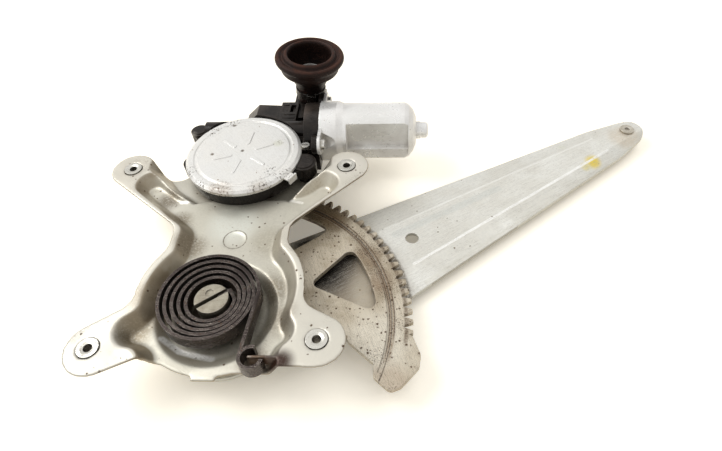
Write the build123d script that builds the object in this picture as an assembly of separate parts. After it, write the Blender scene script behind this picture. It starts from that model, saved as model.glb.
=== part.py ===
from build123d import *
import os
from math import acos, atan2, ceil, cos, degrees, hypot, pi, radians, sin, sqrt, tan

# A powered single-arm window regulator, in millimetres. The origin is midway between the two upper
# mounting holes, on the ears' top faces. +X runs to the right-hand upper hole, +Z leaves the plate
# on the spring's side, and the toothed sector and its arm turn underneath.

# Base plate
SHEET = 2.0
UPPER_SPACING = 150.0
LOWER_LEFT = (-54.0, -139.5)
LOWER_RIGHT = (67.0, -133.5)
EAR_R = 15.0
BODY_X = 6.3
WAIST = 73.6
LOWER_DISC = (8.5, -102.0)
LOWER_DISC_R = 48.7
RIM = 4.5
TRAY_DEPTH = 9.5
TRAY_SLOPE = 35.0
PAD_DEPTH = 14.0
PAD_SLOPE = 15.0
PAD_FRONT_Y = -23.0
WELL_R = 35.0
WELL_SLOPE = 55.0
EMBOSS_R = 7.1
EMBOSS_Y = -58.0
OUTLINE_FILLET = 12.0
POCKET_FILLET = 8.0

# Ear nuts
NUT_BORE_R = 2.5
NUT_RING_R = 5.9
NUT_BODY_R = 5.2
NUT_FLANGE_R = 8.0
NUT_FLANGE = 1.6
NUT_LENGTH = 6.0
NUT_PROUD = 0.5

# Pivot, spring and their levels
PIVOT = (6.5, -110.0)
PIN_R = 8.0
BUSH_WALL = 3.0
BUSH_FLANGE = 1.5
RUNNING = 0.05
GAP = 0.3
HEAD_R = 9.5
HEAD_TOP = 2.6
HEAD_SLOT = 2.6
HEAD_SLOT_BEARING = 36.5
SPRING_TOP = 1.2
SPRING_WIDTH = 9.0
SPRING_STRIP = 1.9
SPRING_TURNS = 5
SPRING_OUTER_R = 29.2
SPRING_INNER_R = 12.6
SPRING_CENTRE = (2.7, -107.1)

# Sector, pinion and arm
MODULE = 2.25
FULL_TEETH = 98
PINION_TEETH = 10
SHIFT = 0.5
PRESSURE = 20.0
BACKLASH = 0.3
PINION_BEARING = 92.0
TEETH_FROM = -6.0
TEETH_TO = 106.0
SECTOR_TOP = -20.5
SECTOR_SHEET = 3.2
ARM_DROP = 2.5
ARM_SHEET = 2.5
ARM_LENGTH = 328.5
ARM_BEARING = 31.9
ARM_FLANGE_DROP = 3.8
ARM_HUB_R = 34.0
ARM_TIP_R = 12.0
RIVET_R = 4.0
STUD_R = 5.0
STUD_LENGTH = 9.0

# Gearbox
MOTOR_TURN = -1.0
COVER_R = 40.5
COVER_SHEET = 1.2
COVER_TOP = 4.0
COVER_SKIRT = 3.6
HOUSING_TOP = 1.0
WALL = 2.4
WORM_MODULE = 1.0
CUP_MARGIN = 12.5
WHEEL_WIDTH = 9.0
WORM_R = 4.5
TUNNEL_R = 5.2
WORM_AXIS_Z = -3.0
SHAFT_R = 6.0
LOBE_OFFSETS = ((-1, -7.1, -7.0), (-1, -1.0, 28.0), (1, 2.7, -7.6))
LOBE_R = 8.5
LOBE_RADII = (LOBE_R, LOBE_R - 2, LOBE_R)
LOBE_FOOT_R = 5.0
MOUNT_SCREW_R = 2.5

# Motor
CAN_R = 20.0
BELL_PROUD = 1.7
CAN_WALL = 2.0
FLANGE_CLEAR = 11.7
FLANGE_SHEET = 2.0
CAN_LENGTH = 68.1
CAN_FLAT_DEPTH = 7.5
CAN_STEP = 3.6
CUP_R = 5.6
CUP_LENGTH = 8.6
EAR_SCREW_OUT = 5.0
EAR_SCREW_GRIP = 4.0
EAR_SCREW_Z = 8.0
FLANGE_EAR_R = 7.0
AXLE_R = 3.0

# Connector and boot
BOOT_BACK = 0.5
BOOT_BESIDE = 34.4
BOOT_R = 25.5
BOOT_TOP = 38.0
BOOT_LEAN = 5.0
NECK_R = 10.0
SOCKET_R = 8.6
BLOCK_TOP = 2.0

# Worked out from the values above
CENTRES = MODULE * (FULL_TEETH + PINION_TEETH) / 2
SECTOR_R = MODULE * FULL_TEETH / 2
PINION_R = MODULE * PINION_TEETH / 2
GEAR_X = PIVOT[0] + CENTRES * cos(radians(PINION_BEARING))
GEAR_Y = PIVOT[1] + CENTRES * sin(radians(PINION_BEARING))
SECTOR_BOTTOM = SECTOR_TOP - SECTOR_SHEET
ARM_TOP = SECTOR_BOTTOM - ARM_DROP
ARM_BOTTOM = ARM_TOP - ARM_SHEET
EARS = ((-UPPER_SPACING / 2, 0.0), (UPPER_SPACING / 2, 0.0), LOWER_LEFT, LOWER_RIGHT)
BUSH_R = PIN_R + BUSH_WALL
HOUSING_R = COVER_R - COVER_SHEET - GAP
WHEEL_TEETH = round(2 * (HOUSING_R - CUP_MARGIN) / WORM_MODULE)
WHEEL_R = WORM_MODULE * WHEEL_TEETH / 2
CAVITY_R = WHEEL_R + 2.5
WORM_Y = WHEEL_R + WORM_R
FLANGE_X = COVER_R + FLANGE_CLEAR
BELL_R = CAN_R + BELL_PROUD
CAN_FLAT = CAN_R - CAN_FLAT_DEPTH
EAR_SCREW_Y = CAN_R + EAR_SCREW_OUT
ARMATURE_R = CAN_R / 2
BRUSH_END = CAN_R - 8.5
CAN_END_X = FLANGE_X + CAN_LENGTH
BOOT_X = COVER_R - BOOT_BACK
BOOT_Y = WORM_Y + BOOT_BESIDE
LOBES = tuple((side * (COVER_R + out), y) for side, out, y in LOBE_OFFSETS)
SPRING_BOTTOM = SPRING_TOP - SPRING_WIDTH
SPIGOT_R = PINION_R + MODULE * (1 + SHIFT) + 1.0
WHEEL_TOP = -PAD_DEPTH + WALL + GAP + WHEEL_WIDTH


def disc(radius, bottom, top, x=0.0, y=0.0):
    """Upright cylinder between two heights."""
    return Pos(x, y, bottom) * Cylinder(radius, top - bottom, align=(Align.CENTER, Align.CENTER, Align.MIN))


def ring(outer, inner, bottom, top, x=0.0, y=0.0):
    """Upright tube between two heights."""
    return disc(outer, bottom, top, x, y) - disc(inner, bottom - 1, top + 1, x, y)


def block(x0, x1, y0, y1, z0, z1):
    """Box between two corners."""
    return Pos((x0 + x1) / 2, (y0 + y1) / 2, (z0 + z1) / 2) * Box(x1 - x0, y1 - y0, z1 - z0)


def rod(radius, x0, x1, y, z):
    """Cylinder lying along X."""
    return Pos((x0 + x1) / 2, y, z) * Rot(0, 90, 0) * Cylinder(radius, x1 - x0)


def turned(points):
    """Solid of revolution about Z from (radius, height) points."""
    return revolve(Plane.XZ * Polygon(*points, align=None), axis=Axis.Z)


def lift(sketch, bottom, top):
    """A flat sketch made a prism between two heights."""
    return Pos(0, 0, bottom) * extrude(sketch, top - bottom, dir=(0, 0, 1))


def strip(p, q, radius_p, radius_q):
    """Flat strip with round ends, from p to q."""
    heading = atan2(q[1] - p[1], q[0] - p[0])
    spread = acos((radius_p - radius_q) / hypot(q[0] - p[0], q[1] - p[1]))
    corners = []
    for centre, radius, side in ((p, radius_p, 1), (p, radius_p, -1), (q, radius_q, -1), (q, radius_q, 1)):
        angle = heading + side * spread
        corners.append((centre[0] + radius * cos(angle), centre[1] + radius * sin(angle)))
    return Polygon(*corners, align=None) + Pos(*p) * Circle(radius_p) + Pos(*q) * Circle(radius_q)


def polar(radius, bearing, centre=(0.0, 0.0)):
    """Point at a distance and a bearing in degrees from a centre."""
    return (centre[0] + radius * cos(radians(bearing)), centre[1] + radius * sin(radians(bearing)))


def toward(p, q, distance):
    """Point at a distance from p on the way to q."""
    share = distance / hypot(q[0] - p[0], q[1] - p[1])
    return (p[0] + (q[0] - p[0]) * share, p[1] + (q[1] - p[1]) * share)


def motor_frame(shape):
    """Moves a gearmotor piece from its own frame, centred on the wheel's axis, to the part's frame."""
    return Pos(GEAR_X, GEAR_Y, 0) * Rot(0, 0, MOTOR_TURN) * shape


def boot_axis(shape):
    """Moves a connector piece from its own leaning axis, with zero at the block's top, to the gearmotor's frame."""
    return Pos(BOOT_X, BOOT_Y, BLOCK_TOP) * Rot(0, BOOT_LEAN, 0) * shape


def motor_point(x, y):
    """Part-frame position of a point of the gearmotor's own frame."""
    turn = radians(MOTOR_TURN)
    return (GEAR_X + x * cos(turn) - y * sin(turn), GEAR_Y + x * sin(turn) + y * cos(turn))


# Base plate

SHOULDERS = ((BODY_X - 26.7, -44.0), (BODY_X + 26.7, -44.0))
ROOT_LEFT = (BODY_X - 21.0, -117.5)
EAR_SHIFT = 2.6
ROOT_RIGHT = (BODY_X + 22.0, -123.5)
LOBE_POINTS = [motor_point(x, y) for x, y in LOBES]


def plate_outline():
    """Outer shape of the stamping: four arms on a waisted body, and the tongue under the gearbox."""
    arms = strip(EARS[0], SHOULDERS[0], EAR_R, EAR_R - 1)
    arms += strip(EARS[1], SHOULDERS[1], EAR_R, EAR_R - 2)
    arms += strip((EARS[2][0] + EAR_SHIFT, EARS[2][1]), ROOT_LEFT, EAR_R + 1, EAR_R + 4.4)
    arms += strip(EARS[3], ROOT_RIGHT, EAR_R + 0.5, EAR_R + 10)
    body = Pos(*LOWER_DISC) * Circle(LOWER_DISC_R) + Pos(BODY_X, -50) * Rectangle(WAIST, 70)
    tongue = Pos(GEAR_X, GEAR_Y) * Circle(HOUSING_R - 2)
    for point in LOBE_POINTS:
        tongue += strip((GEAR_X, GEAR_Y), point, LOBE_R + 10, LOBE_R)
    tongue += Pos(BODY_X, -20) * Rectangle(WAIST - 4, 40)
    tab = Pos(BODY_X + 1.7, LOWER_DISC[1] - LOWER_DISC_R) * Rectangle(13.8, 4.5)
    return offset(offset(arms + body + tongue, OUTLINE_FILLET), -OUTLINE_FILLET) + tab


def tray_opening():
    """Outline of the dished inside of the plate, at the level of the rim."""
    half = WAIST / 2 - RIM
    arm_r = EAR_R - RIM + 0.5
    upper, lower = EAR_R + 7, EAR_R + 9
    opening = strip(toward(EARS[0], SHOULDERS[0], upper), SHOULDERS[0], arm_r, arm_r + 1)
    opening += strip(toward(EARS[1], SHOULDERS[1], upper), SHOULDERS[1], arm_r, arm_r + 1)
    opening += strip(toward(EARS[2], ROOT_LEFT, lower), ROOT_LEFT, arm_r, EAR_R)
    opening += strip(toward(EARS[3], ROOT_RIGHT, lower), ROOT_RIGHT, arm_r, EAR_R + 5)
    opening += Pos(*LOWER_DISC) * Circle(LOWER_DISC_R - RIM) + Pos(BODY_X, -50) * Rectangle(2 * half, 70)
    opening += Pos(BODY_X + 4.7, LOWER_DISC[1] - 38) * Rectangle(74, 60)
    return offset(offset(opening, POCKET_FILLET), -POCKET_FILLET)


def gearbox_side():
    """Opening of the deeper dish under the gearbox, at the level of the rim, open towards the far side."""
    side = UPPER_SPACING / 2 - 10.5
    return Polygon((-26, -36), (14 - side, -16), (-side, 1), (-side, 12), (-side - 20, 30), (-side - 20, 90),
                   (side + 20, 90), (side + 20, 30), (side, 12), (side, 1), (side - 14, -15), (38, -36), align=None)


def pocket(sketch, top, depth, slope, skin):
    """Downward pocket with sloping walls: its air, grown by the sheet's thickness when skin is set."""
    grown = offset(sketch, skin / cos(radians(slope))) if skin else sketch
    return Pos(0, 0, top) * extrude(grown, depth + skin, dir=(0, 0, -1), taper=slope)


def dish(skin):
    """Everything pressed down out of the sheet, as one solid."""
    drop = skin / sin(radians(TRAY_SLOPE))
    shape = pocket(tray_opening(), -drop, TRAY_DEPTH + skin - drop, TRAY_SLOPE, 0)
    if skin:
        shape += lift(tray_opening(), -drop, 0)
    pad_left, pad_right = BODY_X - 70, BODY_X + 70
    pad = Polygon((pad_left, -41), (BODY_X - 27, PAD_FRONT_Y), (BODY_X + 27, PAD_FRONT_Y), (pad_right, -41),
                  (pad_right, 90), (pad_left, 90), align=None)
    shape += pocket(gearbox_side(), 0, TRAY_DEPTH, TRAY_SLOPE, skin)
    deep = pocket(gearbox_side(), 0, PAD_DEPTH, TRAY_SLOPE, skin)
    shape += deep & pocket(pad, -TRAY_DEPTH, PAD_DEPTH - TRAY_DEPTH, PAD_SLOPE, skin)
    well = Pos(*PIVOT) * Circle(WELL_R)
    shape += pocket(well, -TRAY_DEPTH, PAD_DEPTH - TRAY_DEPTH, WELL_SLOPE, skin)
    return shape


def spring_tab():
    """Upright tongue lanced from the plate, that the spring's hook goes round."""
    x, y = HOOK_CENTRE
    return block(x - 2.5, x + 18, y + 0.2, y + 0.2 + SHEET, SPRING_BOTTOM, 0)


def base_plate():
    """The stamping, with its bush seat, pinion opening, screw holes, nut holes and embossed disc."""
    outline = plate_outline()
    air = dish(0)
    plate = lift(outline, -SHEET, 0) - air
    plate += (dish(SHEET) - air) & lift(outline, -PAD_DEPTH - SHEET - 1, 0)
    plate += spring_tab()
    plate -= disc(BUSH_R, -PAD_DEPTH - SHEET - 2, 0, *PIVOT)
    plate -= disc(SPIGOT_R + GAP, -PAD_DEPTH - SHEET - 2, 0, GEAR_X, GEAR_Y)
    for x, y in LOBE_POINTS:
        plate -= disc(MOUNT_SCREW_R + 0.4, -PAD_DEPTH - SHEET - 2, 0, x, y)
    for x, y in EARS:
        plate -= disc(NUT_RING_R, -SHEET - 1, 1, x, y)
    plate -= disc(EMBOSS_R, -TRAY_DEPTH - 0.5, 0, BODY_X, EMBOSS_Y)
    plate += disc(EMBOSS_R - 0.4, -TRAY_DEPTH - SHEET - 0.5, -TRAY_DEPTH - SHEET + 0.1, BODY_X, EMBOSS_Y)
    return plate


def ear_nut(x, y):
    """Threaded nut pressed through an ear, with a countersunk mouth on top and a flange below."""
    nut = disc(NUT_RING_R, -SHEET, NUT_PROUD, x, y) + disc(NUT_FLANGE_R, -SHEET - NUT_FLANGE, -SHEET, x, y)
    nut += disc(NUT_BODY_R, -SHEET - NUT_LENGTH, -SHEET, x, y)
    nut -= disc(NUT_BORE_R, -20, 5, x, y)
    mouth = Pos(x, y, NUT_PROUD) * Rot(180, 0, 0) * Cone(
        NUT_BORE_R + 1.6, NUT_BORE_R, 0.4, align=(Align.CENTER, Align.CENTER, Align.MIN))
    return nut - mouth


def ear_nuts():
    return Compound(children=[ear_nut(x, y) for x, y in EARS])


# Pivot and spring

HOOK_CENTRE = (PIVOT[0] + 27.5, PIVOT[1] - 34.5)
HOOK_R = 6.0


def pivot_bush():
    """Flanged bush pressed into the plate's well."""
    top = -PAD_DEPTH + BUSH_FLANGE
    bush = disc(BUSH_R, SECTOR_TOP + 2 * GAP, top, *PIVOT) + disc(BUSH_R + 4, -PAD_DEPTH, top, *PIVOT)
    return bush - disc(PIN_R + RUNNING, -30, 0, *PIVOT)


def pivot_washer():
    """Thrust washer on the sector, just clear of the bush."""
    return ring(BUSH_R + 5, PIN_R, SECTOR_TOP, SECTOR_TOP + GAP, *PIVOT)


def pivot_pin():
    """Pin riveted to the sector and the arm, with the slotted head that holds the spring's inner end."""
    foot = ARM_BOTTOM - 2.5
    head_bottom = -PAD_DEPTH + BUSH_FLANGE + GAP
    pin = disc(PIN_R, foot + 2.5, head_bottom, *PIVOT) + disc(HEAD_R, head_bottom, HEAD_TOP, *PIVOT)
    pin += disc(PIN_R + 4, foot, foot + 2.5, *PIVOT)
    slot = Rot(0, 0, HEAD_SLOT_BEARING) * block(-HEAD_R - 1, HEAD_R + 1, -HEAD_SLOT / 2, HEAD_SLOT / 2, -9.0, 10)
    pin -= Pos(PIVOT[0], PIVOT[1], 0) * slot
    dimple = disc(2.4, HEAD_TOP - 0.5, HEAD_TOP + 1, PIVOT[0] - 1.6, PIVOT[1] + 3.6)
    return pin - dimple


def spring_point(turn, shift=0.0):
    """Point of the spiral's middle line after a number of turns from its outer end."""
    share = turn / SPRING_TURNS
    radius = SPRING_OUTER_R + (SPRING_INNER_R - SPRING_OUTER_R) * share + shift
    centre_x = SPRING_CENTRE[0] + (PIVOT[0] - SPRING_CENTRE[0]) * share
    centre_y = SPRING_CENTRE[1] + (PIVOT[1] - SPRING_CENTRE[1]) * share
    return polar(radius, 360 * turn + 5, (centre_x, centre_y))


def spiral_spring():
    """Flat strip wound on edge: hook round the plate's tab, straight leg, spiral, and tang in the slot."""
    steps = 16 * SPRING_TURNS
    half = SPRING_STRIP / 2
    outer = [spring_point(i / 16, half) for i in range(steps + 1)]
    inner = [spring_point(i / 16, -half) for i in range(steps + 1)]
    coil = make_face([Spline(outer), Line(outer[-1], inner[-1]), Spline(inner), Line(inner[0], outer[0])])
    start = spring_point(0)
    hook_x, hook_y = HOOK_CENTRE
    leg_end = (hook_x - HOOK_R, hook_y + 1.0)
    leg = strip(start, leg_end, half, half - 0.001)
    hook = Pos(hook_x, hook_y) * (Circle(HOOK_R + half) - Circle(HOOK_R - half))
    mouth = Polygon((hook_x, hook_y), (hook_x + 16, hook_y - 3), (hook_x + 16, hook_y + 14), (hook_x + 3, hook_y + 14),
                    align=None)
    end = spring_point(SPRING_TURNS)
    tang_in = polar(HEAD_R - 5.0, HEAD_SLOT_BEARING, PIVOT)
    tang_out = polar(HEAD_R + 1.7, HEAD_SLOT_BEARING, PIVOT)
    tang = strip(tang_in, tang_out, half, half - 0.001) + strip(tang_out, end, half, half - 0.001)
    return lift(coil + leg + (hook - mouth) + tang, SPRING_BOTTOM, SPRING_TOP)


# Sector and arm

def involute(angle):
    return tan(angle) - angle


def tooth_flank(teeth, shift, tip_r, root_r):
    """Half-angles of one tooth in radians, as (radius, half_angle) from root to tip."""
    pitch_r = MODULE * teeth / 2
    base_r = pitch_r * cos(radians(PRESSURE))
    thickness = MODULE * (pi / 2 + 2 * shift * tan(radians(PRESSURE))) - BACKLASH / 2
    at_base = thickness / (2 * pitch_r) + involute(radians(PRESSURE))
    start = max(base_r, root_r)
    flank = [(root_r, at_base - involute(acos(base_r / start)))]
    for i in range(1 if start == root_r else 0, 5):
        radius = start + (tip_r - start) * i / 4
        flank.append((radius, at_base - involute(acos(base_r / radius))))
    return flank


def gear_points(teeth, shift, first, count, tip_r, root_r):
    """Outline points of a run of teeth, anticlockwise from the bearing of the first tooth."""
    flank = tooth_flank(teeth, shift, tip_r, root_r)
    points = []
    for i in range(count):
        middle = radians(first) + 2 * pi * i / teeth
        points += [(r * cos(middle - a), r * sin(middle - a)) for r, a in flank]
        points += [(r * cos(middle + a), r * sin(middle + a)) for r, a in reversed(flank)]
    return points


SECTOR_TIP_R = SECTOR_R + MODULE * (1 - SHIFT)
SECTOR_ROOT_R = SECTOR_R - MODULE * (1.25 + SHIFT)
PINION_TIP_R = PINION_R + MODULE * (1 + SHIFT)
PINION_ROOT_R = PINION_R - MODULE * (1.25 - SHIFT)
TOOTH_STEP = 360 / FULL_TEETH
TEETH_BELOW = int((PINION_BEARING - TEETH_FROM) / TOOTH_STEP)
TEETH_ABOVE = int((TEETH_TO - PINION_BEARING) / TOOTH_STEP)
RIVETS = (polar(24, -8), polar(36, 44), polar(43, 14))


def sector_window(first, last):
    """Three-cornered window between two spokes, its tip towards the pivot."""
    tip = polar(55, (first + last) / 2 + 8 * (1 if last < PINION_BEARING / 2 else -1))
    middle = (first + last) / 2
    outer = [polar(91, bearing) for bearing in (first, first + 8, middle, last - 8, last)]
    return offset(offset(Polygon(tip, *outer, align=None), -4.5), 4.5)


def sector_sketch():
    """Toothed sector: teeth, web, hub, end nose, far stop and two windows, centred on the pivot."""
    first = PINION_BEARING - TEETH_BELOW * TOOTH_STEP
    count = TEETH_BELOW + TEETH_ABOVE + 1
    last = first + (count - 1) * TOOTH_STEP
    teeth = gear_points(FULL_TEETH, -SHIFT, first, count, SECTOR_TIP_R, SECTOR_ROOT_R)
    inner = [polar(SECTOR_ROOT_R - 12, last - i * (last - first) / 20) for i in range(21)]
    band = Polygon(*teeth, *inner, align=None)
    nose = Polygon((70, -9), (89, -26), (89.2, -34), (98, -42), (104, -39.5), (114, -28), (115, -21),
                   polar(SECTOR_TIP_R, first - 1.6), polar(SECTOR_ROOT_R - 8, first + 3), align=None)
    nose = offset(offset(nose, -4), 4)
    web_edge = [polar(SECTOR_ROOT_R - 6, bearing) for bearing in range(-6, int(TEETH_TO) - 2, 7)]
    web = Polygon((20, -16), (70, -9.5), *web_edge, polar(SECTOR_ROOT_R, last + 2), polar(80, last + 1), (-24, 12),
                  align=None)
    stop = Polygon(polar(SECTOR_ROOT_R - 20, last - 3), polar(SECTOR_ROOT_R - 1, last - 1),
                   polar(SECTOR_ROOT_R - 1, last + 5), polar(SECTOR_ROOT_R - 20, last + 4), align=None)
    sketch = band + nose + web + stop + Circle(ARM_HUB_R - 6)
    return sketch - sector_window(3.5, 36.5) - sector_window(50, 83)


def sector_gear():
    """Stamped sector with a pressed groove inside its teeth and the holes for pin and rivets."""
    sector = lift(sector_sketch(), SECTOR_BOTTOM, SECTOR_TOP)
    groove = lift(Circle(99.5) - Circle(96.5), SECTOR_TOP - 0.9, SECTOR_TOP + 1)
    keep = lift(Polygon((0, 0), polar(150, -19), polar(150, 20), polar(150, 60), polar(150, 100), align=None),
                SECTOR_TOP - 2, SECTOR_TOP + 2)
    sector -= groove & keep
    sector = Pos(PIVOT[0], PIVOT[1], 0) * sector - disc(PIN_R, -60, 0, *PIVOT)
    for x, y in RIVETS:
        sector -= disc(RIVET_R, -60, 0, PIVOT[0] + x, PIVOT[1] + y)
    return sector


def arm_crease(x):
    """Heights across the arm at a distance from the pivot: lower edge, two creases, upper edge."""
    share = (x - 60) / (ARM_LENGTH - 60)
    return (-44.2 + 29.8 * share, -25.3 + 18.7 * share, 16.5 - 10.5 * share, 40.3 - 24.4 * share)


def arm_section(x):
    """Cross-section of the arm's folded sheet at a distance from the pivot."""
    low, crease_low, crease_high, high = arm_crease(x)
    edge = ARM_TOP - ARM_FLANGE_DROP
    top = [(low, edge), (crease_low, ARM_TOP), (crease_high, ARM_TOP), (high, edge)]
    bottom = [(y, z - ARM_SHEET) for y, z in reversed(top)]
    face = make_face(Polyline(*[(x, y, z) for y, z in top + bottom], close=True))
    return face


def lift_arm():
    """Long stamped arm: a flat with two bent-down sides, raised pads under the sector, and a tip hole."""
    sheet = loft([arm_section(-60), arm_section(ARM_LENGTH + 30)], ruled=True)
    edges = [arm_crease(x) for x in (60, ARM_LENGTH - 22)]
    outline = Polygon((-10, -31), (30, -42), (60, edges[0][0]), (ARM_LENGTH - 22, edges[1][0]),
                      (ARM_LENGTH + 2, -ARM_TIP_R), (ARM_LENGTH + 2, ARM_TIP_R), (ARM_LENGTH - 22, edges[1][3]),
                      (60, edges[0][3]), (-6, 33), align=None)
    outline += Circle(ARM_HUB_R) + Pos(ARM_LENGTH, 0) * Circle(ARM_TIP_R)
    outline = offset(offset(outline, -6), 6)
    arm = sheet & lift(outline, ARM_BOTTOM - 8, ARM_TOP)
    arm -= disc(4.4, ARM_BOTTOM - 8, 0, 130.6, -2.6)
    arm -= disc(RIVET_R, ARM_BOTTOM - 8, 0, ARM_LENGTH, 0)
    arm = Pos(PIVOT[0], PIVOT[1], 0) * Rot(0, 0, ARM_BEARING) * arm
    arm += disc(PIN_R + 6, ARM_BOTTOM, SECTOR_BOTTOM, *PIVOT)
    for x, y in RIVETS:
        arm += disc(RIVET_R + 4, ARM_BOTTOM, SECTOR_BOTTOM, PIVOT[0] + x, PIVOT[1] + y)
        arm -= disc(RIVET_R, ARM_BOTTOM - 8, 0, PIVOT[0] + x, PIVOT[1] + y)
    return arm - disc(PIN_R, -60, 0, *PIVOT)


def arm_rivet(x, y):
    rivet = disc(RIVET_R, ARM_BOTTOM, SECTOR_TOP, x, y)
    rivet += disc(RIVET_R + 2, SECTOR_TOP, SECTOR_TOP + 1.2, x, y)
    return rivet + disc(RIVET_R + 2, ARM_BOTTOM - 1.5, ARM_BOTTOM, x, y)


def arm_rivets():
    return Compound(children=[arm_rivet(PIVOT[0] + x, PIVOT[1] + y) for x, y in RIVETS])


def tip_stud():
    """Pin riveted through the arm's tip, for the slider in the glass channel."""
    x, y = polar(ARM_LENGTH, ARM_BEARING, PIVOT)
    stud = disc(RIVET_R, ARM_BOTTOM, ARM_TOP, x, y) + disc(RIVET_R + 1, ARM_TOP, ARM_TOP + 1.4, x, y)
    stud -= disc(1.8, ARM_TOP + 0.4, ARM_TOP + 3, x, y)
    stud += disc(STUD_R + 0.8, ARM_BOTTOM - 1.5, ARM_BOTTOM, x, y)
    return stud + disc(STUD_R, ARM_BOTTOM - 1.5 - STUD_LENGTH, ARM_BOTTOM - 1.5, x, y)


# Gearbox, in its own frame centred on the wheel's axis

TUNNEL_BACK = 5.5
TUNNEL_END = TUNNEL_BACK - COVER_R
PLUG = 3.5
BALL_R = 2.0
CARD_SCREW = (COVER_R + 2.4, WORM_Y - CAN_R - 4.0)
BLOCK_START = FLANGE_X - 12.2
BOX_X = BOOT_X - 40
BALL_X = TUNNEL_END + PLUG + BALL_R - 0.6

def lobe(x, y, r):
    """Mounting lobe of the housing, narrower at its foot, with a low cap on its top."""
    body = disc(r, -7.5, HOUSING_TOP, x, y) + disc(r - 1.8, HOUSING_TOP - 1, HOUSING_TOP + 0.7, x, y)
    return body + disc(LOBE_FOOT_R, -PAD_DEPTH, -7, x, y)


def end_block():
    """Rectangular end of the housing that takes the can's flange, and the connector block behind it."""
    top = BLOCK_TOP
    body = block(BLOCK_START, FLANGE_X, WORM_Y - 27, WORM_Y + 31, -17, top)
    body += rod(CAN_R + 0.5, FLANGE_X - 11, FLANGE_X, WORM_Y, WORM_AXIS_Z)
    body += block(BOOT_X - 12, FLANGE_X - 1.5, WORM_Y + 10, BOOT_Y + 12, -9, top)
    for side in (-1, 1):
        body += rod(FLANGE_EAR_R - 0.5, FLANGE_X - EAR_SCREW_GRIP, FLANGE_X, WORM_Y + side * EAR_SCREW_Y,
                    WORM_AXIS_Z + EAR_SCREW_Z)
    return body


def wedge_box():
    """Sloping box over the far side of the wheel, with two square windows and a ribbed side."""
    profile = Polygon((-8, -10), (26, -10), (26, BLOCK_TOP + 1.5), (2, BLOCK_TOP + 3), (-8, -4), align=None)
    box = Pos(BOX_X, BOOT_Y - 32, 0) * Rot(90, 0, 0) * extrude(profile, 20, dir=(0, 0, -1))
    tower = block(BOX_X + 19, BOX_X + 32, WORM_Y - 2, BOOT_Y - 8, -10, BLOCK_TOP + 2)
    for x in (BOX_X + 23.0, BOX_X + 28.4):
        tower -= block(x - 2.0, x + 2.0, WORM_Y + 14, WORM_Y + 23, BLOCK_TOP - 4, BLOCK_TOP + 5)
    for i in range(3):
        tower -= block(BOX_X + 20.5 + i, BOX_X + 31.2, WORM_Y + 2 + 4 * i, WORM_Y + 3.2 + 4 * i, BLOCK_TOP, BLOCK_TOP + 5)
    return box + tower


def gear_housing():
    """Moulded housing: wheel cup, worm tunnel, three mounting lobes and the connector end."""
    step = -TRAY_DEPTH + GAP
    mouth_r = CAN_R - CAN_WALL - 1.5
    body = end_block() + wedge_box()
    for (x, y), r in zip(LOBES, LOBE_RADII):
        arm = strip((x * 0.7, y * 0.7), (x, y), r + 2, r - 0.5)
        body += lobe(x, y, r) + lift(arm, -7.5, HOUSING_TOP - 1.5)
    body += rod(TUNNEL_R + WALL, TUNNEL_END, BLOCK_START + 2, WORM_Y, WORM_AXIS_Z)
    body += block(TUNNEL_END + 5, BLOCK_START + 2, WORM_Y - 12, WORM_Y, step + 0.5, -2)
    body -= disc(COVER_R + GAP, COVER_TOP - COVER_SKIRT - GAP, 30)
    body += disc(HOUSING_R, step, HOUSING_TOP)
    body += disc(CAVITY_R + WALL, -PAD_DEPTH, step)
    body += disc(SPIGOT_R, -PAD_DEPTH - SHEET - 1, -PAD_DEPTH)
    body -= disc(CAVITY_R, -PAD_DEPTH + WALL, 20)
    lightened = ring(HOUSING_R - WALL, CAVITY_R + WALL, step + WALL, 20)
    body -= lightened & block(-90, 90, -90, WORM_Y - 19, -30, 30)
    body -= rod(TUNNEL_R, TUNNEL_END - 1, FLANGE_X + 1, WORM_Y, WORM_AXIS_Z)
    body -= rod(mouth_r, FLANGE_X - 9, FLANGE_X + 1, WORM_Y, WORM_AXIS_Z)
    body -= disc(SHAFT_R + 3.0, -30, 0)
    for side in (-1, 1):
        screw_y = WORM_Y + side * EAR_SCREW_Y
        body -= rod(2.0, FLANGE_X - EAR_SCREW_GRIP, FLANGE_X + 1, screw_y, WORM_AXIS_Z + EAR_SCREW_Z)
    for x, y in LOBES:
        body -= disc(MOUNT_SCREW_R, -PAD_DEPTH - 1, -PAD_DEPTH + 9.5, x, y)
    body -= boot_axis(disc(NECK_R + 1.8, 0, 20))
    body -= boot_axis(disc(SOCKET_R, -8, 20))
    body -= disc(2.0, -6, 20, *CARD_SCREW)
    return motor_frame(body)


def gear_cover():
    """Round pressed cover with a raised rim, six embossed rays, a turned-down skirt and a locking tab."""
    top, sheet, edge = COVER_TOP, COVER_SHEET, COVER_R
    profile = [
        (0, top), (edge - 8.4, top), (edge - 7.4, top - 0.7), (edge - 6.2, top - 0.7), (edge - 5.4, top),
        (edge - 2, top), (edge, top - 1.6), (edge, top - COVER_SKIRT), (edge - sheet, top - COVER_SKIRT),
        (edge - sheet, top - 2), (edge - 2.4, top - sheet), (edge - 4.8, top - sheet), (edge - 6.0, top - sheet - 0.7),
        (edge - 7.8, top - sheet - 0.7), (edge - 9, top - sheet), (0, top - sheet),
    ]
    cover = turned(profile)
    for i in range(6):
        ray = strip((9.5, 0), (COVER_R - 19.5, 0), 1.5, 0.9)
        cover += Rot(0, 0, 60 * i + 22) * lift(ray, top - 0.2, top + 0.4)
    tab = block(edge - 1, edge + 5.5, -3.5, 3.5, top - 3, top - 3 + sheet)
    tab += block(edge + 4.3, edge + 5.5, -3.5, 3.5, top - 5, top)
    cover += Rot(0, 0, -33) * tab
    return motor_frame(cover)


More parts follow.
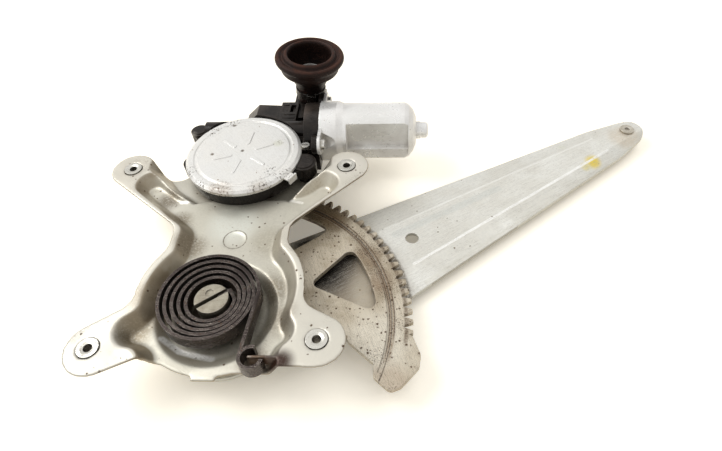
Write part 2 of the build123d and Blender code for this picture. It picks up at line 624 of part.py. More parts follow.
def cover_seal():
    """Rubber ring pinched between the housing's edge and the cover."""
    return motor_frame(ring(HOUSING_R - 1.0, HOUSING_R - WALL, HOUSING_TOP, COVER_TOP - COVER_SHEET))


def shaft_bush():
    """Sintered bush in the housing's spigot, for the output shaft."""
    return motor_frame(ring(SHAFT_R + 3.0, SHAFT_R + RUNNING, -PAD_DEPTH - SHEET - 1, -PAD_DEPTH + WALL))


def mount_screw(x, y):
    """Screw from under the plate into a lobe of the housing."""
    under = -PAD_DEPTH - SHEET
    screw = disc(MOUNT_SCREW_R, under, -PAD_DEPTH + 8.5, x, y) + disc(5.0, under - 3.0, under, x, y)
    return screw - Pos(x, y, under - 3) * extrude(RegularPolygon(2.2, 6), 1.6)


def mount_screws():
    return Compound(children=[mount_screw(x, y) for x, y in LOBE_POINTS])


def housing_screw():
    """Small bright screw that holds the connector card in the housing."""
    x, y = CARD_SCREW
    screw = disc(2.0, -5.5, BLOCK_TOP, x, y) + disc(2.8, BLOCK_TOP, BLOCK_TOP + 2.2, x, y)
    return motor_frame(screw - block(x - 2, x + 2, y - 0.5, y + 0.5, BLOCK_TOP + 1.2, BLOCK_TOP + 4))


# Wheel, dampers, drive plate and pinion

WHEEL_BOTTOM = WHEEL_TOP - WHEEL_WIDTH
HUB_R = SHAFT_R + 0.22 * (WHEEL_R - SHAFT_R)
SOCKETS = 3


def worm_wheel():
    """Plastic worm wheel: toothed rim, web and three pockets for the dampers, free on the shaft."""
    points = []
    for i in range(WHEEL_TEETH):
        for radius, quarter in ((WHEEL_R - 1.2, -1.25), (WHEEL_R + 0.6, -0.6), (WHEEL_R + 0.6, 0.6), (WHEEL_R - 1.2, 1.25)):
            points.append(polar(radius, (i + quarter / 4) * 360 / WHEEL_TEETH))
    wheel = lift(Polygon(*points, align=None), WHEEL_BOTTOM, WHEEL_TOP)
    wheel -= disc(WHEEL_R - 5, WHEEL_TOP - 2.5, WHEEL_TOP + 1)
    wheel -= ring(WHEEL_R - 5, HUB_R, WHEEL_BOTTOM + WALL, WHEEL_TOP + 1)
    for i in range(SOCKETS):
        rib = block(HUB_R - 0.5, WHEEL_R - 4.5, -1.2, 1.2, WHEEL_BOTTOM + 1, WHEEL_TOP - 2.5)
        wheel += Rot(0, 0, 120 * i) * rib
    return motor_frame(wheel - disc(SHAFT_R + RUNNING, -40, 20))


def damper_rubbers():
    """Three curved rubber blocks between the wheel's ribs and the drive plate's fingers."""
    rubbers = []
    for i in range(SOCKETS):
        sector = Polygon((0, 0), polar(40, 8), polar(40, 30), polar(40, 52), align=None)
        sketch = (Circle(WHEEL_R - 5.3) - Circle(HUB_R + 0.5)) & sector
        body = lift(sketch, WHEEL_BOTTOM + WALL, WHEEL_TOP - 2.5)
        rubbers.append(motor_frame(Rot(0, 0, 120 * i) * body))
    return Compound(children=rubbers)


def drive_plate():
    """Steel plate keyed to the shaft, with three fingers down between the rubbers."""
    plate = disc(WHEEL_R - 6, WHEEL_TOP - 2.2, WHEEL_TOP - 0.4)
    for i in range(SOCKETS):
        finger = block(HUB_R + 1.5, WHEEL_R - 6.5, -3, 3, WHEEL_BOTTOM + WALL + GAP, WHEEL_TOP - 2.2)
        plate += Rot(0, 0, 120 * i + 86) * finger
    return motor_frame(plate - disc(SHAFT_R, -40, 20) + Pos(0, SHAFT_R - 0.4, WHEEL_TOP - 1.3) * Box(4, 0.8, 1.8))


def output_pinion():
    """Output shaft with its ten teeth below the plate, in mesh with the sector."""
    toward_pivot = PINION_BEARING + 180 - MOTOR_TURN
    first = toward_pivot + 180 / PINION_TEETH
    points = gear_points(PINION_TEETH, SHIFT, first, PINION_TEETH, PINION_TIP_R, PINION_ROOT_R)
    top = -PAD_DEPTH - SHEET - 1 - GAP
    pinion = lift(Polygon(*points, align=None), SECTOR_BOTTOM - 0.8, top)
    pinion += disc(SHAFT_R, top, WHEEL_TOP + 1.6)
    pinion -= Pos(0, SHAFT_R - 0.4, WHEEL_TOP - 1.3) * Box(4, 0.8, 1.8)
    pinion -= ring(SHAFT_R + 1, SHAFT_R - 0.8, WHEEL_TOP, WHEEL_TOP + 0.9)
    return motor_frame(pinion)


def shaft_ring():
    """Spring ring in the shaft's groove, over the drive plate."""
    clip = ring(SHAFT_R + 2.2, SHAFT_R - 0.8, WHEEL_TOP, WHEEL_TOP + 0.9)
    return motor_frame(clip - block(0, 12, -1.5, 1.5, WHEEL_TOP - 1, WHEEL_TOP + 3))


# Motor, in the same frame

def along(shape):
    """Turns a solid made about Z to lie along the motor's axis."""
    return Pos(0, WORM_Y, WORM_AXIS_Z) * Rot(0, 90, 0) * shape


def yoke():
    """Drawn steel can: flange, round bell, body with stepped flats, domed end and bearing cup."""
    end, start = CAN_END_X, FLANGE_X
    outer = turned([
        (0, start), (BELL_R, start), (BELL_R, start + 12), (CAN_R, start + 16.5), (CAN_R, end - 8), (CAN_R - 1.5, end - 5),
        (CAN_R - 5, end - 2), (CAN_R - 10, end), (CUP_R + 0.6, end), (CUP_R + 0.6, end + 3), (CUP_R, end + 3.6),
        (CUP_R, end + CUP_LENGTH - 1.2), (CUP_R - 1.2, end + CUP_LENGTH), (0, end + CUP_LENGTH),
    ])
    inner_r = CAN_R - CAN_WALL - 1.5
    inner = turned([(0, start - 1), (inner_r, start - 1), (inner_r, end - 10), (CAN_R - 10, end - 2.4), (4.0, end - 2.4),
                    (4.0, end + CUP_LENGTH - 2.5), (0, end + CUP_LENGTH - 2.5)])
    can = along(outer)
    for side in (-1, 1):
        ear = rod(FLANGE_EAR_R, start, start + FLANGE_SHEET, WORM_Y + side * EAR_SCREW_Y, WORM_AXIS_Z + EAR_SCREW_Z)
        near = WORM_Y + side * (BELL_R - 6)
        web = Polygon(
            (near, WORM_AXIS_Z - 6), (WORM_Y + side * (EAR_SCREW_Y + 2), WORM_AXIS_Z + EAR_SCREW_Z - FLANGE_EAR_R + 0.4),
            (WORM_Y + side * (EAR_SCREW_Y + 2), WORM_AXIS_Z + EAR_SCREW_Z + FLANGE_EAR_R - 0.2),
            (near, WORM_AXIS_Z + EAR_SCREW_Z + FLANGE_EAR_R), align=None)
        can += ear + extrude(Plane.YZ.offset(start) * web, FLANGE_SHEET, dir=(1, 0, 0))
        relief = Pos(start + FLANGE_SHEET, WORM_Y + side * EAR_SCREW_Y, WORM_AXIS_Z + EAR_SCREW_Z) * Rot(0, 90, 0)
        can -= relief * Cone(8.6, 3.0, 13, align=(Align.CENTER, Align.CENTER, Align.MIN))
        flat_x = (start + 19, end - 5.5)
        face = WORM_Y + side * (CAN_FLAT + 10)
        upper = block(*flat_x, face - 10, face + 10, WORM_AXIS_Z - 4, 30)
        lower = Pos(0, side * CAN_STEP, 0) * block(*flat_x, face - 10, face + 10, -60, WORM_AXIS_Z - 4)
        can -= upper + lower
    cavity = along(inner)
    core = block(start - 2, end, WORM_Y - CAN_FLAT + CAN_WALL, WORM_Y + CAN_FLAT - CAN_WALL, -60, 60)
    cavity = cavity & (core + block(start - 2, start + 4, -60, 99, -60, 60) + along(disc(4.0, end - 6, end + 20)))
    can -= cavity
    for side in (-1, 1):
        can -= rod(2.2, start - 1, start + 3, WORM_Y + side * EAR_SCREW_Y, WORM_AXIS_Z + EAR_SCREW_Z)
    return motor_frame(can)


def yoke_screw(side):
    y, z = WORM_Y + side * EAR_SCREW_Y, WORM_AXIS_Z + EAR_SCREW_Z
    screw = rod(2.0, FLANGE_X - EAR_SCREW_GRIP, FLANGE_X + FLANGE_SHEET, y, z)
    screw += rod(3.9, FLANGE_X + FLANGE_SHEET, FLANGE_X + FLANGE_SHEET + 2.8, y, z)
    return motor_frame(screw - rod(1.8, FLANGE_X + FLANGE_SHEET + 1.5, FLANGE_X + 12, y, z))


def yoke_screws():
    return Compound(children=[yoke_screw(side) for side in (-1, 1)])


def magnets():
    """Two curved ferrite magnets against the can's wall, above and below the armature."""
    reach = CAN_R - CAN_WALL - 1.5
    shells = []
    for side in (-1, 1):
        shell = rod(reach, FLANGE_X + 22, FLANGE_X + 54, WORM_Y, WORM_AXIS_Z)
        shell -= rod(ARMATURE_R + 0.7, FLANGE_X + 20, FLANGE_X + 56, WORM_Y, WORM_AXIS_Z)
        half, level = CAN_FLAT - CAN_WALL, 0.3 * CAN_R
        keep = block(0, 200, WORM_Y - half, WORM_Y + half, WORM_AXIS_Z + level, 60)
        low = block(0, 200, WORM_Y - half, WORM_Y + half, -60, WORM_AXIS_Z - level)
        shells.append(motor_frame(shell & (keep if side > 0 else low)))
    return Compound(children=shells)


def bearing(x0, x1, outer):
    sleeve = rod(outer, x0, x1, WORM_Y, WORM_AXIS_Z) - rod(AXLE_R + RUNNING, x0 - 1, x1 + 1, WORM_Y, WORM_AXIS_Z)
    return motor_frame(sleeve)


def rear_bearing():
    """Sleeve bearing in the can's end cup."""
    return bearing(CAN_END_X - 1, CAN_END_X + CUP_LENGTH - 3.2, 4.0)


def front_bearing():
    """Sleeve bearing in the mouth of the worm tunnel."""
    return bearing(FLANGE_X - 17, FLANGE_X - 11, TUNNEL_R)


def armature_shaft():
    """Steel shaft from the thrust ball to the end cup, with the worm cut in it."""
    shaft = rod(AXLE_R, BALL_X + BALL_R + 0.05, CAN_END_X + CUP_LENGTH - 3.6, WORM_Y, WORM_AXIS_Z)
    for i in range(9):
        x = (i - 4) * pi * WORM_MODULE
        shaft += rod(WORM_R - 0.9, x - 0.8, x + 0.8, WORM_Y, WORM_AXIS_Z)
    return motor_frame(shaft)


def thrust_ball():
    """Ball that takes the worm's end thrust."""
    return motor_frame(Pos(BALL_X, WORM_Y, WORM_AXIS_Z) * Sphere(BALL_R))


def thrust_plug():
    """Plug pressed in the far end of the worm tunnel, with the ball's seat."""
    plug = rod(TUNNEL_R, TUNNEL_END, TUNNEL_END + PLUG, WORM_Y, WORM_AXIS_Z)
    return motor_frame(plug - Pos(BALL_X, WORM_Y, WORM_AXIS_Z) * Sphere(BALL_R + 0.05))


def armature_core():
    """Slotted iron core on the shaft."""
    core = rod(ARMATURE_R, FLANGE_X + 24, FLANGE_X + 52, WORM_Y, WORM_AXIS_Z)
    for i in range(8):
        slot = Pos(0, WORM_Y, WORM_AXIS_Z) * Rot(45 * i, 0, 0) * block(0, 200, -1.6, 1.6, 5.6, ARMATURE_R - 1.4)
        mouth = Pos(0, WORM_Y, WORM_AXIS_Z) * Rot(45 * i, 0, 0) * block(0, 200, -0.6, 0.6, 5.6, ARMATURE_R + 1)
        core -= slot + mouth
    return motor_frame(core - rod(AXLE_R, 0, 200, WORM_Y, WORM_AXIS_Z))


def windings():
    """Copper end turns on both faces of the core."""
    ends = []
    for x0, x1 in ((FLANGE_X + 18, FLANGE_X + 24), (FLANGE_X + 52, FLANGE_X + 58)):
        end = rod(ARMATURE_R - 1.8, x0, x1, WORM_Y, WORM_AXIS_Z) - rod(AXLE_R, x0 - 1, x1 + 1, WORM_Y, WORM_AXIS_Z)
        ends.append(motor_frame(end))
    return Compound(children=ends)


def commutator():
    """Copper commutator drum between the windings and the front bearing."""
    drum = rod(6.0, FLANGE_X + 4, FLANGE_X + 18, WORM_Y, WORM_AXIS_Z)
    drum -= rod(AXLE_R, FLANGE_X, FLANGE_X + 30, WORM_Y, WORM_AXIS_Z)
    for i in range(8):
        groove = Rot(45 * i, 0, 0) * block(FLANGE_X + 3, FLANGE_X + 19, -0.3, 0.3, 5.2, 7)
        drum -= Pos(0, WORM_Y, WORM_AXIS_Z) * groove
    return motor_frame(drum)


def brush_holder():
    """Moulded brush card in the can's mouth, with two boxes for the brushes."""
    card = rod(CAN_R - CAN_WALL - 1.5, FLANGE_X - 2.5, FLANGE_X, WORM_Y, WORM_AXIS_Z)
    for side in (-1, 1):
        z0, z1 = sorted((WORM_AXIS_Z + side * (BRUSH_END - 4.0), WORM_AXIS_Z + side * (BRUSH_END + 3.5)))
        box = block(FLANGE_X - 2.5, FLANGE_X + 14, WORM_Y - 4, WORM_Y + 4, z0, z1)
        card += box - block(FLANGE_X + 4, FLANGE_X + 12, WORM_Y - 2.5, WORM_Y + 2.5, z0 - 1, z1 + 1)
    return motor_frame(card - rod(6.6, FLANGE_X - 5, FLANGE_X + 20, WORM_Y, WORM_AXIS_Z))


def brushes():
    """Two carbon brushes in their boxes, just off the commutator."""
    pair = []
    for side in (-1, 1):
        z0, z1 = sorted((WORM_AXIS_Z + side * (6.0 + GAP), WORM_AXIS_Z + side * BRUSH_END))
        pair.append(motor_frame(block(FLANGE_X + 4, FLANGE_X + 12, WORM_Y - 2.5, WORM_Y + 2.5, z0, z1)))
    return Compound(children=pair)


def brush_springs():
    """Two small springs that press the brushes, drawn as their outer shape."""
    pair = []
    for side in (-1, 1):
        z0, z1 = sorted((WORM_AXIS_Z + side * BRUSH_END, WORM_AXIS_Z + side * (BRUSH_END + 3.9)))
        coil = ring(2.2, 1.2, z0, z1, FLANGE_X + 8, WORM_Y)
        pair.append(motor_frame(coil))
    return Compound(children=pair)


# Connector, boot and clip

def connector_socket():
    """Round plastic socket that stands in the block and holds the terminals."""
    socket = ring(SOCKET_R, SOCKET_R - 1.5, -8, 25) + disc(SOCKET_R - 1.5, -8, 10)
    for x in (-3, 3):
        socket -= block(x - 1.3, x + 1.3, -0.45, 0.45, -9, 11)
    return motor_frame(boot_axis(socket))


def terminals():
    """Two flat blades in the socket."""
    blades = []
    for x in (-3, 3):
        blades.append(motor_frame(boot_axis(block(x - 1.3, x + 1.3, -0.45, 0.45, -8, 19))))
    return Compound(children=blades)


def connector_boot():
    """Horn-shaped rubber boot on the socket, open at the top, with an inner and an outer lip."""
    top, rim, inner = BOOT_TOP, BOOT_R, SOCKET_R + 0.05
    profile = [
        (inner, 0), (NECK_R + 0.4, 0), (NECK_R + 0.4, 4), (NECK_R, 5), (NECK_R + 0.6, top - 26), (rim - 8.5, top - 15),
        (rim - 8.2, top - 13), (rim - 4.6, top - 12.6), (rim - 3.5, top - 6.5), (rim - 0.8, top - 4.5), (rim, top - 2.5),
        (rim - 1.2, top - 0.4), (rim - 3, top), (rim - 4.6, top - 2), (rim - 6.0, top - 2), (rim - 7.0, top + 1),
        (rim - 8.4, top + 1.6), (rim - 9.8, top + 0.8), (rim - 10, top - 2), (rim - 9.5, top - 8),
        (rim - 11, top - 14), (inner + 0.6, top - 24), (inner, top - 26),
    ]
    boot = boot_axis(turned(profile))
    return motor_frame(boot - disc(NECK_R + 9, -10, BLOCK_TOP, BOOT_X, BOOT_Y))


def boot_clip():
    """Sheet clip round the boot's neck."""
    band = ring(NECK_R + 1.3, NECK_R + 0.6, 6, 10.5)
    band += block(-1, 5, -NECK_R - 3.4, -NECK_R - 0.5, 6, 10.5)
    return motor_frame(boot_axis(band))


PARTS = {
    "base_plate": base_plate, "ear_nuts": ear_nuts, "pivot_bush": pivot_bush, "pivot_washer": pivot_washer,
    "pivot_pin": pivot_pin, "spiral_spring": spiral_spring, "sector_gear": sector_gear, "lift_arm": lift_arm,
    "arm_rivets": arm_rivets, "tip_stud": tip_stud, "gear_housing": gear_housing, "gear_cover": gear_cover,
    "cover_seal": cover_seal, "shaft_bush": shaft_bush, "mount_screws": mount_screws, "housing_screw": housing_screw,
    "worm_wheel": worm_wheel, "damper_rubbers": damper_rubbers, "drive_plate": drive_plate,
    "output_pinion": output_pinion, "shaft_ring": shaft_ring, "yoke": yoke, "yoke_screws": yoke_screws,
    "magnets": magnets, "rear_bearing": rear_bearing, "front_bearing": front_bearing,
    "armature_shaft": armature_shaft, "thrust_ball": thrust_ball, "thrust_plug": thrust_plug,
    "armature_core": armature_core, "windings": windings, "commutator": commutator, "brush_holder": brush_holder,
    "brushes": brushes, "brush_springs": brush_springs, "connector_socket": connector_socket,
    "terminals": terminals, "connector_boot": connector_boot, "boot_clip": boot_clip,
}

os.makedirs("parts", exist_ok=True)
for node, make in PARTS.items():
    export_step(make(), f"parts/{node}.step")
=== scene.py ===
import math

import bpy
from mathutils import Matrix, Vector


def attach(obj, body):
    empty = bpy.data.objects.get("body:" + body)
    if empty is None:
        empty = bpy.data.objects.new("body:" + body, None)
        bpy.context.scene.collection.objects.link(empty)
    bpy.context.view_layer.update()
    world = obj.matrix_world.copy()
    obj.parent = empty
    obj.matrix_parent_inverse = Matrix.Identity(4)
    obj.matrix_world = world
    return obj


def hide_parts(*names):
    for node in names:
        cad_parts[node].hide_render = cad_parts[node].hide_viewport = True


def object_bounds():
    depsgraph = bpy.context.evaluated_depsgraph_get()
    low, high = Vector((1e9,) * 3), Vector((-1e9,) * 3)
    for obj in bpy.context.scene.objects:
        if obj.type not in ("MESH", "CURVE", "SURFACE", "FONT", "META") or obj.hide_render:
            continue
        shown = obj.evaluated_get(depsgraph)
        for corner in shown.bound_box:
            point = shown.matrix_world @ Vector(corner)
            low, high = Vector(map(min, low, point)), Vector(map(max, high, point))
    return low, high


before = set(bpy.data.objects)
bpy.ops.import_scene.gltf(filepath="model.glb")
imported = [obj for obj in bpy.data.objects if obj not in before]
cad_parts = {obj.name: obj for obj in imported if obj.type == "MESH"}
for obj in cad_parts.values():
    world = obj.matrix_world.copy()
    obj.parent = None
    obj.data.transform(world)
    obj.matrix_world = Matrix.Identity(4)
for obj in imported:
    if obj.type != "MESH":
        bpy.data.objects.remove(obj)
cad_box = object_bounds()
bpy.ops.object.select_all(action="DESELECT")

# Base plate: zinc plated steel sheet, pressed into a shallow X-shaped tray with four bolt ears.
# The plating has gone cream and cloudy and rusty at the lower rim; its channels are darkened grey-brown with painted
# shade, most on the walls that face +x.


def put(tree, kind, feeds, **settings):
    """A node of a material with its settings; feeds are sockets to link or plain values."""
    made = tree.nodes.new("ShaderNode" + kind)
    for key, value in settings.items():
        setattr(made, key, value)
    for key, value in feeds.items():
        if isinstance(value, bpy.types.NodeSocket):
            tree.links.new(value, made.inputs[key])
        else:
            made.inputs[key].default_value = value
    return made


def new_group(name, inputs, outputs):
    """An empty node group with named sockets: its tree, its inputs and its output node."""
    tree = bpy.data.node_groups.new(name, "ShaderNodeTree")
    for label, value in inputs.items():
        tree.interface.new_socket(label, in_out="INPUT", socket_type="NodeSocketFloat").default_value = value
    for label, kind in outputs.items():
        tree.interface.new_socket(label, in_out="OUTPUT", socket_type="NodeSocket" + kind)
    return tree, tree.nodes.new("NodeGroupInput").outputs, tree.nodes.new("NodeGroupOutput").inputs


def sum_of(tree, a, b):
    return put(tree, "Math", {0: a, 1: b}, operation="ADD").outputs[0]


def product(tree, a, b):
    return put(tree, "Math", {0: a, 1: b}, operation="MULTIPLY").outputs[0]


def size_of(tree, value):
    """The value without its sign."""
    return put(tree, "Math", {0: value}, operation="ABSOLUTE").outputs[0]


def ramp(tree, value, low, high, start=0.0, end=1.0):
    """Soft step from start at low to end at high."""
    feeds = {"Value": value, "From Min": low, "From Max": high, "To Min": start, "To Max": end}
    return put(tree, "MapRange", feeds, interpolation_type="SMOOTHSTEP").outputs[0]


def coat_over(tree, tone, share, colour):
    """Lays a colour over the tone, as far as share says."""
    return put(tree, "Mix", {0: share, 6: tone, 7: colour}, data_type="RGBA").outputs[2]


def place_of(tree):
    """The point being coloured, in the object's own frame, in metres."""
    return tree.nodes.new("ShaderNodeTexCoord").outputs["Object"]


def parts_of(tree, vector):
    """X, Y and Z of a vector, as sockets."""
    return put(tree, "SeparateXYZ", {0: vector}).outputs


def vector_node(tree, operation, a, b, output=0):
    return put(tree, "VectorMath", {0: a, 1: b}, operation=operation).outputs[output]


def folded_edges():
    """Masks of the folds, outer and inner, and of the hollows, and a normal that rounds each fold over Reach;
    materials lighten the folds as wear and painted highlight, and darken the hollows as grime and painted shade.
    """
    tree, given, result = new_group("folded_edges", {"Reach": 0.0006, "Hollow reach": 0.012},
                                    {"Edge": "Float", "Hollow": "Float", "Normal": "Vector"})
    rounded = put(tree, "Bevel", {"Radius": given["Reach"]}, samples=6).outputs[0]
    true = tree.nodes.new("ShaderNodeNewGeometry").outputs["Normal"]
    match = vector_node(tree, "DOT_PRODUCT", rounded, true, "Value")
    tree.links.new(ramp(tree, match, 0.995, 0.86), result["Edge"])
    open_sky = put(tree, "AmbientOcclusion", {"Distance": given["Hollow reach"]}, samples=8).outputs["AO"]
    tree.links.new(ramp(tree, open_sky, 0.85, 0.25), result["Hollow"])
    tree.links.new(rounded, result["Normal"])
    return tree


def cloudy_plating():
    """Broad clouds and fine grain of a plated or painted surface."""
    tree, given, result = new_group("cloudy_plating", {"Scale": 60.0}, {"Broad": "Float", "Fine": "Float"})
    where = place_of(tree)
    broad = {"Vector": where, "Scale": given["Scale"], "Detail": 5.0, "Roughness": 0.6, "Distortion": 0.4}
    tree.links.new(ramp(tree, put(tree, "TexNoise", broad).outputs[0], 0.36, 0.66), result["Broad"])
    fine = {"Vector": where, "Scale": product(tree, given["Scale"], 18.0), "Detail": 3.0, "Roughness": 0.7}
    tree.links.new(put(tree, "TexNoise", fine).outputs[0], result["Fine"])
    return tree


def dark_specks():
    """Scattered ragged dots: pits, grease spots and rust pricks."""
    inputs = {"Scale": 420.0, "Size": 0.3, "Share": 0.25}
    tree, given, result = new_group("dark_specks", inputs, {"Mask": "Float"})
    where = place_of(tree)
    shake = put(tree, "TexNoise", {"Vector": where, "Scale": 1500.0, "Detail": 2.0}).outputs["Color"]
    moved = vector_node(tree, "ADD", where, vector_node(tree, "MULTIPLY", shake, (0.0014, 0.0014, 0.0014)))
    cells = put(tree, "TexVoronoi", {"Vector": moved, "Scale": given["Scale"]}).outputs
    pick = put(tree, "SeparateColor", {"Color": cells["Color"]}).outputs
    chosen = put(tree, "Math", {0: pick["Red"], 1: given["Share"]}, operation="LESS_THAN").outputs[0]
    size = product(tree, given["Size"], ramp(tree, pick["Green"], 0.0, 1.0, 0.35, 1.0))
    dot = put(tree, "MapRange", {"Value": cells["Distance"], "From Min": size, "From Max": product(tree, size, 0.55)})
    tree.links.new(product(tree, chosen, dot.outputs[0]), result["Mask"])
    return tree


def fine_scratches():
    """Thin drawn-out scratches in bands along one bearing, in radians."""
    inputs = {"Scale": 70.0, "Bearing": 0.0, "Share": 0.3}
    tree, given, result = new_group("fine_scratches", inputs, {"Mask": "Float"})
    where = place_of(tree)
    turned = put(tree, "VectorRotate", {"Vector": where, "Angle": given["Bearing"]}, rotation_type="Z_AXIS").outputs[0]
    drawn = put(tree, "Mapping", {"Vector": turned, "Scale": (1.0, 26.0, 4.0)}).outputs[0]
    wavy = {"Vector": drawn, "Scale": given["Scale"], "Detail": 4.0, "Roughness": 0.75}
    lines = put(tree, "TexNoise", wavy).outputs[0]
    thin = ramp(tree, size_of(tree, sum_of(tree, lines, -0.5)), 0.018, 0.004)
    zones = put(tree, "TexNoise", {"Vector": where, "Scale": 34.0, "Detail": 3.0}).outputs[0]
    edge = put(tree, "Math", {0: 0.72, 1: given["Share"]}, operation="SUBTRACT").outputs[0]
    zone = put(tree, "MapRange", {"Value": zones, "From Min": edge, "From Max": sum_of(tree, edge, 0.08)}).outputs[0]
    tree.links.new(product(tree, thin, zone), result["Mask"])
    return tree


shared = {make.__name__: make() for make in (folded_edges, cloudy_plating, dark_specks, fine_scratches)}


def effect(tree, name, **values):
    """Places a shared effect in a material with its own values."""
    made = put(tree, "Group", {}, node_tree=shared[name])
    for label, value in values.items():
        made.inputs[label.replace("_", " ")].default_value = value
    return made.outputs


def near(tree, x, y, z, reach):
    """Share that fades from one at a point, in millimetres, to nothing at reach."""
    away = vector_node(tree, "DISTANCE", place_of(tree), (x / 1000, y / 1000, z / 1000), "Value")
    return ramp(tree, away, reach / 1000, reach / 3000)


def flat_offset(tree, centre):
    """Way from a point, in millimetres, to the one being coloured, seen from above."""
    away = vector_node(tree, "SUBTRACT", place_of(tree), [c / 1000 for c in centre])
    return vector_node(tree, "MULTIPLY", away, (1, 1, 0))


def along(tree, start, end, width):
    """Share that is one on a line between two points, in millimetres, and nothing at width from it."""
    run = [b - a for a, b in zip(start, end)]
    length = math.sqrt(sum(r * r for r in run))
    bearing = [r / length for r in run]
    away = flat_offset(tree, start)
    reached = vector_node(tree, "DOT_PRODUCT", away, bearing, "Value")
    reached = put(tree, "Clamp", {"Value": reached, "Min": 0.0, "Max": length / 1000}).outputs[0]
    foot = put(tree, "VectorMath", {0: bearing, 3: reached}, operation="SCALE").outputs[0]
    off = vector_node(tree, "DISTANCE", away, foot, "Value")
    return ramp(tree, off, width / 1000, width / 3000)


def ring_round(tree, x, y, radius, width):
    """Share that is one on a circle seen from above, in millimetres, and nothing at width from it."""
    away = put(tree, "VectorMath", {0: flat_offset(tree, (x, y, 0))}, operation="LENGTH").outputs["Value"]
    return ramp(tree, size_of(tree, sum_of(tree, away, -radius / 1000)), width / 1000, width / 4000)


def lay_marks_and_painted_light(tree, colour, fine, marks, streaks, rings, flecked):
    """Lays round marks, drawn streaks, rings and sprinkled flecks over a colour, broken by the fine grain; they are
    stains, and some of them are painted shade and painted highlights.
    """
    for x, y, z, size, mark_colour, strength in marks:
        thin = 0.92 * strength if strength > 0.9 else 0.45 * strength
        share = product(tree, near(tree, x, y, z, size), ramp(tree, fine, 0.32, 0.55, thin, strength))
        colour = coat_over(tree, colour, share, (*mark_colour, 1))
    for start, end, width, mark_colour, strength in streaks:
        broken = ramp(tree, fine, 0.3, 0.55, 0.5 * strength, strength)
        colour = coat_over(tree, colour, product(tree, along(tree, start, end, width), broken), (*mark_colour, 1))
    for x, y, radius, width, mark_colour, strength, lowest in rings:
        broken = ramp(tree, fine, 0.34, 0.55, 0.35 * strength, strength)
        share = product(tree, ring_round(tree, x, y, radius, width), broken)
        above = ramp(tree, parts_of(tree, place_of(tree))["Y"], lowest / 1000 - 0.006, lowest / 1000)
        colour = coat_over(tree, colour, product(tree, share, above), (*mark_colour, 1))
    for x, y, z, size, mark_colour in flecked:
        share = product(tree, near(tree, x, y, z, size), ramp(tree, fine, 0.555, 0.60))
        colour = coat_over(tree, colour, share, (*mark_colour, 1))
    return colour


